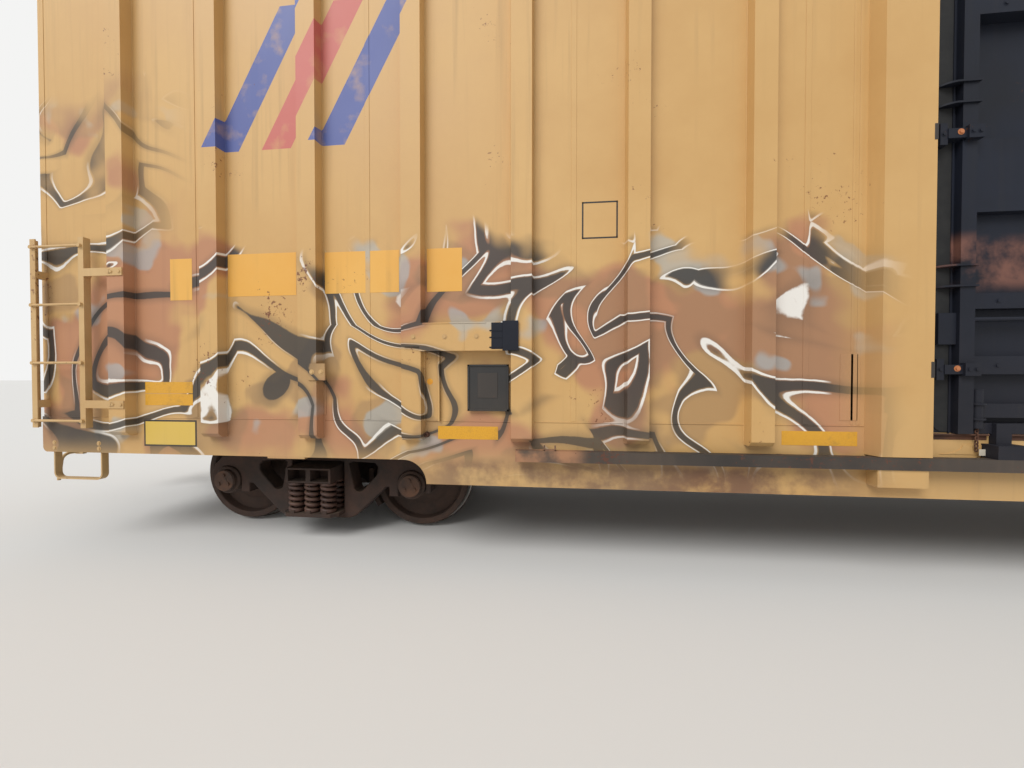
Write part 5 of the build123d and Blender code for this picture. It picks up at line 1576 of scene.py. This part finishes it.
@dataclass
class DoorDetails:
    """The plug doors' trim: edge strips, jamb keepers, sill lips, chain and tag, bolts."""

    strip: Span = (2.268, 2.358)
    strip_corner: float = 0.065
    latch_levels: tuple[float, float, float] = (1.464, 3.005, 4.520)
    latch_bolts: tuple[float, ...] = (2.168, 2.212, 2.365, 0.063, 0.216, 0.260)
    latch_pins: Span = (2.271, 0.157)
    # pressed members: their heights above the rail, and their bolts' first place, pitch and number
    member_levels: tuple[float, float, float] = (1.49, 1.915, 3.83)
    member_bolts: tuple[float, float, int] = (0.40, 0.2, 9)
    lips: tuple[Span, ...] = ((0.02, 0.40), (0.52, 1.91), (2.03, 2.43))
    # the sill doubler's quarter arch: its middle, and its reach along and down
    arch: Span = (2.31, 0.985)
    arch_reach: Span = (0.14, 0.065)
    arch_back: float = 2.03
    chain_x: float = 2.109
    chain_top: float = 1.102
    links: int = 7
    link_pitch: float = 0.024
    link_half: Span = (0.009, 0.016)
    link_wire: float = 0.004
    outside: float = 1.75

    def build(self) -> None:
        """Build the trim in all quarters."""
        near, far = self.strip
        foot, top = LEAF_FOOT + 0.008, WALL_TOP - 0.03
        size = self.strip_corner
        steps = [math.radians(15 * k) for k in range(7)]
        corner = [(far - size + size * math.sin(a), foot + size - size * math.cos(a)) for a in steps]
        strip = Form()
        strip.plate([(near, foot), *corner, (far, top), (near, top)], (LEAF_Y, LEAF_Y + 0.006))
        strip.make("door_edge_strips", SEAL)
        keepers = Form()
        for level in self.latch_levels:
            z = (above_rail(level) - 0.055, above_rail(level) + 0.050)
            keepers.box((JAMB_X - 0.004, JAMB_X + 0.018), (JAMB_Y - 0.050, JAMB_Y + 0.0018), z)
        keepers.make("jamb_keepers", RAIL_PAINT)
        lip = Form()
        for x in self.lips:
            lip.lay(x, (LEAF_FOOT - 0.014, LEAF_FOOT - 0.003), 0.024, 0.002)
            lip.lay(x, (LEAF_FOOT - 0.045, LEAF_FOOT - 0.010), 0.005)
        lip.make("door_sill_lips", RUSTY_STEEL)
        arch = Form()
        (x, z), (along, down) = self.arch, self.arch_reach
        steps = [math.radians(18 * k) for k in range(6)]
        rise = [(x - along * math.sin(a), z - down * math.cos(a)) for a in steps]
        outline = [*rise, (self.arch_back, z), (self.arch_back, z - down)]
        arch.plate(outline, (SHEET_Y, SHEET_Y + 0.004))
        arch.make("sill_doublers", BODY_PAINT)
        self.build_chain()
        self.build_bolts()

    def build_chain(self) -> None:
        """Hang a short chain with a tag from the foot rod."""
        chain = Form()
        x, y = self.chain_x, LEAF_Y + 0.024
        half_wide, half_long = self.link_half
        for k in range(self.links):
            level = self.chain_top - self.link_pitch * k
            across, along = (half_wide, 0.0) if k % 2 else (0.0, half_wide)
            turn = [(math.sin(a), math.cos(a)) for a in ONE_TURN]
            link = [(x + across * s, y + along * s, level + half_long * c) for s, c in turn]
            chain.bent_rod(link, self.link_wire, 8)
        chain.make("door_chains", RUSTY_STEEL)
        tag = Form()
        low = self.chain_top - self.link_pitch * self.links
        tag.box((x - 0.075, x - 0.012), (y + 0.004, y + 0.006), (low - 0.016, low + 0.026), 0.0005)
        tag.make("chain_tags", PALE_TAG, MARKED_QUARTERS)

    def build_bolts(self) -> None:
        """Bolt the latches, their blocks and the pressed members, and pin the latches."""
        doors = Surface("door_a_near", "door_a_far", "door_b_near", "door_b_far")
        y = self.outside
        levels = [above_rail(level) for level in self.latch_levels]
        pins = [(x, y, z + 0.006) for z in levels for x in self.latch_pins]
        bolts = [(x, y, z) for z in levels for x in self.latch_bolts]
        first, pitch, number = self.member_bolts
        for level in self.member_levels:
            bolts.extend((first + pitch * k, y, above_rail(level)) for k in range(number))
        pin_lines = lines_in_quarters(pins, INWARD)
        bolt_rows("latch_pins", doors, pin_lines, BoltHeads(0.013, 0.008), PIN_STEEL)
        bolt_lines = lines_in_quarters(bolts, INWARD)
        bolt_rows("door_bolts", doors, bolt_lines, BoltHeads(0.011, 0.006), DOOR_PAINT)


@dataclass
class EndDetails:
    """Rivets of the ends, the roof and the side plates."""

    outside: float = 10.2
    # rows up the end wall's edges: distance from the middle, first height, pitch and number
    edge_row: tuple[float, float, float, int] = (1.412, 1.20, 0.15, 26)
    # rows along its foot and top: first place, pitch, number and the two heights
    level_row: tuple[float, float, int] = (-1.36, 0.17, 17)
    level_heights: Span = (1.165, WALL_TOP - 0.030)
    # the roof's seams, and the rivets on both sides of each
    seams: int = 14
    seam_side: float = 0.062
    row_pitch: float = 0.2
    row_half: int = 7
    above_roof: float = 6.0
    # the side plate's row
    plate_level: float = WALL_TOP + 0.052
    plate_outside: float = 1.75
    plate_half: int = 45

    def build(self) -> None:
        """Build the rows at both ends, on the roof and along the eaves."""
        self.build_ends()
        self.build_roof()

    def build_ends(self) -> None:
        """Rivet both end walls around their edges."""
        lines: Lines = []
        y, low, pitch, number = self.edge_row
        first, step, across = self.level_row
        for sign in (-1, 1):
            way = (-float(sign), 0.0, 0.0)
            x = sign * self.outside
            lines.extend(((x, side * y, low + pitch * k), way) for k in range(number) for side in (-1, 1))
            lines.extend(
                ((x, first + step * k, z), way) for k in range(across) for z in self.level_heights
            )
        panels = [f"side_panel_{end}_{side}" for end in "ab" for side in ("near", "far")]
        ends = Surface("end_wall_a", "end_wall_b", *panels)
        bolt_rows("end_rivets", ends, lines, BoltHeads(0.010, 0.005), BODY_PAINT)

    def build_roof(self) -> None:
        """Rivet the roof beside its seams, and the side plates."""
        rivet = BoltHeads(0.009, 0.005)
        pitch = 2 * BODY_X / (self.seams + 1)
        roof_lines: Lines = []
        for k in range(1, self.seams + 1):
            for across in range(-self.row_half, self.row_half + 1):
                for x in about(k * pitch - BODY_X, self.seam_side):
                    start = (x, across * self.row_pitch, self.above_roof)
                    roof_lines.append((start, (0.0, 0.0, -1.0)))
        bolt_rows("roof_rivets", Surface("roof"), roof_lines, rivet, ROOF_SHEET)
        plate_lines: Lines = []
        for side in (-1, 1):
            for k in range(-self.plate_half, self.plate_half + 1):
                start = (self.row_pitch * k, side * self.plate_outside, self.plate_level)
                plate_lines.append((start, (0.0, -float(side), 0.0)))
        chords = Surface("side_plate_near", "side_plate_far")
        bolt_rows("side_plate_rivets", chords, plate_lines, rivet, BODY_PAINT)


@dataclass
class BrakePipes:
    """The brake pipes under the floor, from end to end and between the apparatus."""

    pipe_y: float = 0.345
    pipe_z: float = 0.955
    pipe_end: float = 9.62
    # how far the pipe drops towards its ends, and where it bends, from the end
    drop: float = 0.13
    bends: Point = (0.12, 0.30, 0.60)
    pipe_radius: float = 0.021
    branch_radius: float = 0.013
    branch_turn: float = 0.3

    def build(self) -> None:
        """Build the pipes and their end cocks."""
        pipes = Form()
        y, z, end = self.pipe_y, self.pipe_z, self.pipe_end
        low = z - self.drop
        levels = (low, low, z, z)
        half = [(end - back, y, level) for back, level in zip((0.0, *self.bends), levels)]
        mirrored = [(-x, y, level) for x, y, level in half]
        pipes.bent_rod([*mirrored, (0.0, y, z), *reversed(half)], self.pipe_radius, 12)
        valve = middle_of("brake_valve")
        for node in ("air_reservoir", "brake_cylinder"):
            far = middle_of(node)
            bend = valve[0] + self.branch_turn * (far[0] - valve[0])
            corners = ((bend, valve[1]), (far[0], valve[1]), (far[0], far[1]))
            route = [valve, *((*corner, valve[2]) for corner in corners), far]
            pipes.bent_rod(route, self.branch_radius, 10)
        feed_route = [(valve[0], across, z) for across in (y, (y + valve[1]) / 2, valve[1])]
        pipes.bent_rod([*feed_route, valve], self.branch_radius, 10)
        for sign in (-1, 1):
            tip = sign * end
            pipes.rod((tip - sign * 0.02, y, low), (tip + sign * 0.07, y, low), 0.032, 12)
            stem = tip + sign * 0.03
            pipes.rod((stem, y, low), (stem, y, low + 0.065), 0.015, 10)
            pipes.box((tip, tip + sign * 0.09), about(y, 0.008), (low + 0.060, low + 0.072), 0.002)
        pipes.make("brake_pipes", BRAKE_GEAR_PAINT, (Quarter.B_FAR,))


def middle_of(node: str) -> Point:
    """The middle of a node's box."""
    low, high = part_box(node)
    return tuple((low + high) / 2)


def dress_nodes() -> None:
    """Give every CAD node its finish."""
    finishes = (
        BODY_PAINT,
        LADDER_PAINT,
        DOOR_PAINT,
        RAIL_PAINT,
        UNDERFRAME_PAINT,
        BRAKE_GEAR_PAINT,
        ROOF_SHEET,
        PLATFORM_STEEL,
        FLOOR_DECK,
        TRUCK_CASTING,
        SPRING_STEEL,
        COUPLER_CASTING,
    )
    finish_of = {finish.slot: finish for finish in finishes}
    for row in frame["record"]["subparts"]:
        name, slot = row["node"], row["material_slot"]
        if slot == "wheel_steel":
            middle = sum(corner.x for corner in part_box(name)) / 2
            finish = RolledWheelSteel(f"rolled_steel_{name}", slot, centre_x=middle)
        else:
            finish = finish_of[slot]
        materials = frame["nodes"][name].data.materials
        materials.clear()
        materials.append(finish.material())
    LOG.info("%d nodes dressed", len(frame["nodes"]))


@dataclass
class Studio:
    """The pale floor, the soft light and the photograph's camera."""

    floor_half: float = 400.0
    camera_place: Point = (-4.918, -4.363, 1.430)
    camera_aim: Point = (-0.1036, 0.9945, -0.0143)
    lens_mm: float = 13.43
    sensor_mm: float = 36.0
    far_clip: float = 500.0
    floor_colour: str = "#D9D8D5"
    floor_roughness: float = 0.95
    # what the camera sees as the sky, and what lights the car
    backdrop: str = "#F4F4F3"
    sky_colour: str = "#FFFFFF"
    sky_light: float = 0.62
    sun_light: float = 2.1
    sun_spread: float = 35.0
    sun_way: Point = (0.35, 0.62, -0.70)

    def build(self) -> None:
        """Build floor, light and camera."""
        mesh = bpy.data.meshes.new("floor")
        half = self.floor_half
        corners = [(-half, -half, 0.0), (half, -half, 0.0), (half, half, 0.0), (-half, half, 0.0)]
        mesh.from_pydata(corners, [], [(0, 1, 2, 3)])
        floor = stand("studio_floor", mesh)
        pale = bpy.data.materials.new("pale_floor")
        pale.use_nodes = True
        shader = pale.node_tree.nodes["Principled BSDF"]
        shader.inputs["Base Color"].default_value = linear(self.floor_colour)
        shader.inputs["Roughness"].default_value = self.floor_roughness
        mesh.materials.append(pale)
        world = bpy.data.worlds.new("soft_sky")
        world.use_nodes = True
        tree = world.node_tree
        tree.nodes.clear()
        rays = add(tree, "ShaderNodeLightPath")
        seen = maths(tree, "MAXIMUM", rays.outputs["Is Camera Ray"], rays.outputs["Is Glossy Ray"])
        seen = maths(tree, "MAXIMUM", seen, rays.outputs["Is Transmission Ray"])
        shown = add(tree, "ShaderNodeBackground", {"Color": linear(self.backdrop), "Strength": 1.0})
        light = add(
            tree, "ShaderNodeBackground", {"Color": linear(self.sky_colour), "Strength": self.sky_light}
        )
        both = add(tree, "ShaderNodeMixShader", {0: seen, 1: light, 2: shown})
        add(tree, "ShaderNodeOutputWorld", {"Surface": both})
        bpy.context.scene.world = world
        lamp = bpy.data.lights.new("soft_sun", "SUN")
        lamp.energy = self.sun_light
        lamp.angle = math.radians(self.sun_spread)
        sun = stand("soft_sun", lamp)
        sun.rotation_euler = Vector(self.sun_way).to_track_quat("-Z", "Y").to_euler()
        lens = bpy.data.cameras.new("photograph_view")
        lens.lens = self.lens_mm
        lens.sensor_width = self.sensor_mm
        lens.clip_end = self.far_clip
        camera = stand("photograph_view", lens)
        camera.location = self.camera_place
        camera.rotation_euler = Vector(self.camera_aim).to_track_quat("-Z", "Y").to_euler()
        bpy.context.scene.camera = camera
        bpy.context.scene.view_settings.view_transform = "Standard"
        LOG.info("studio ready")


def main() -> None:
    """Dress the car, build its fittings and set the studio."""
    logging.basicConfig(level=logging.INFO, format="%(name)s: %(message)s")
    dress_nodes()
    SideSheets().build()
    SideFittings().build()
    DoorDetails().build()
    TruckDetails().build()
    EndDetails().build()
    BrakePipes().build()
    Studio().build()


if __name__ == "__main__":
    main()
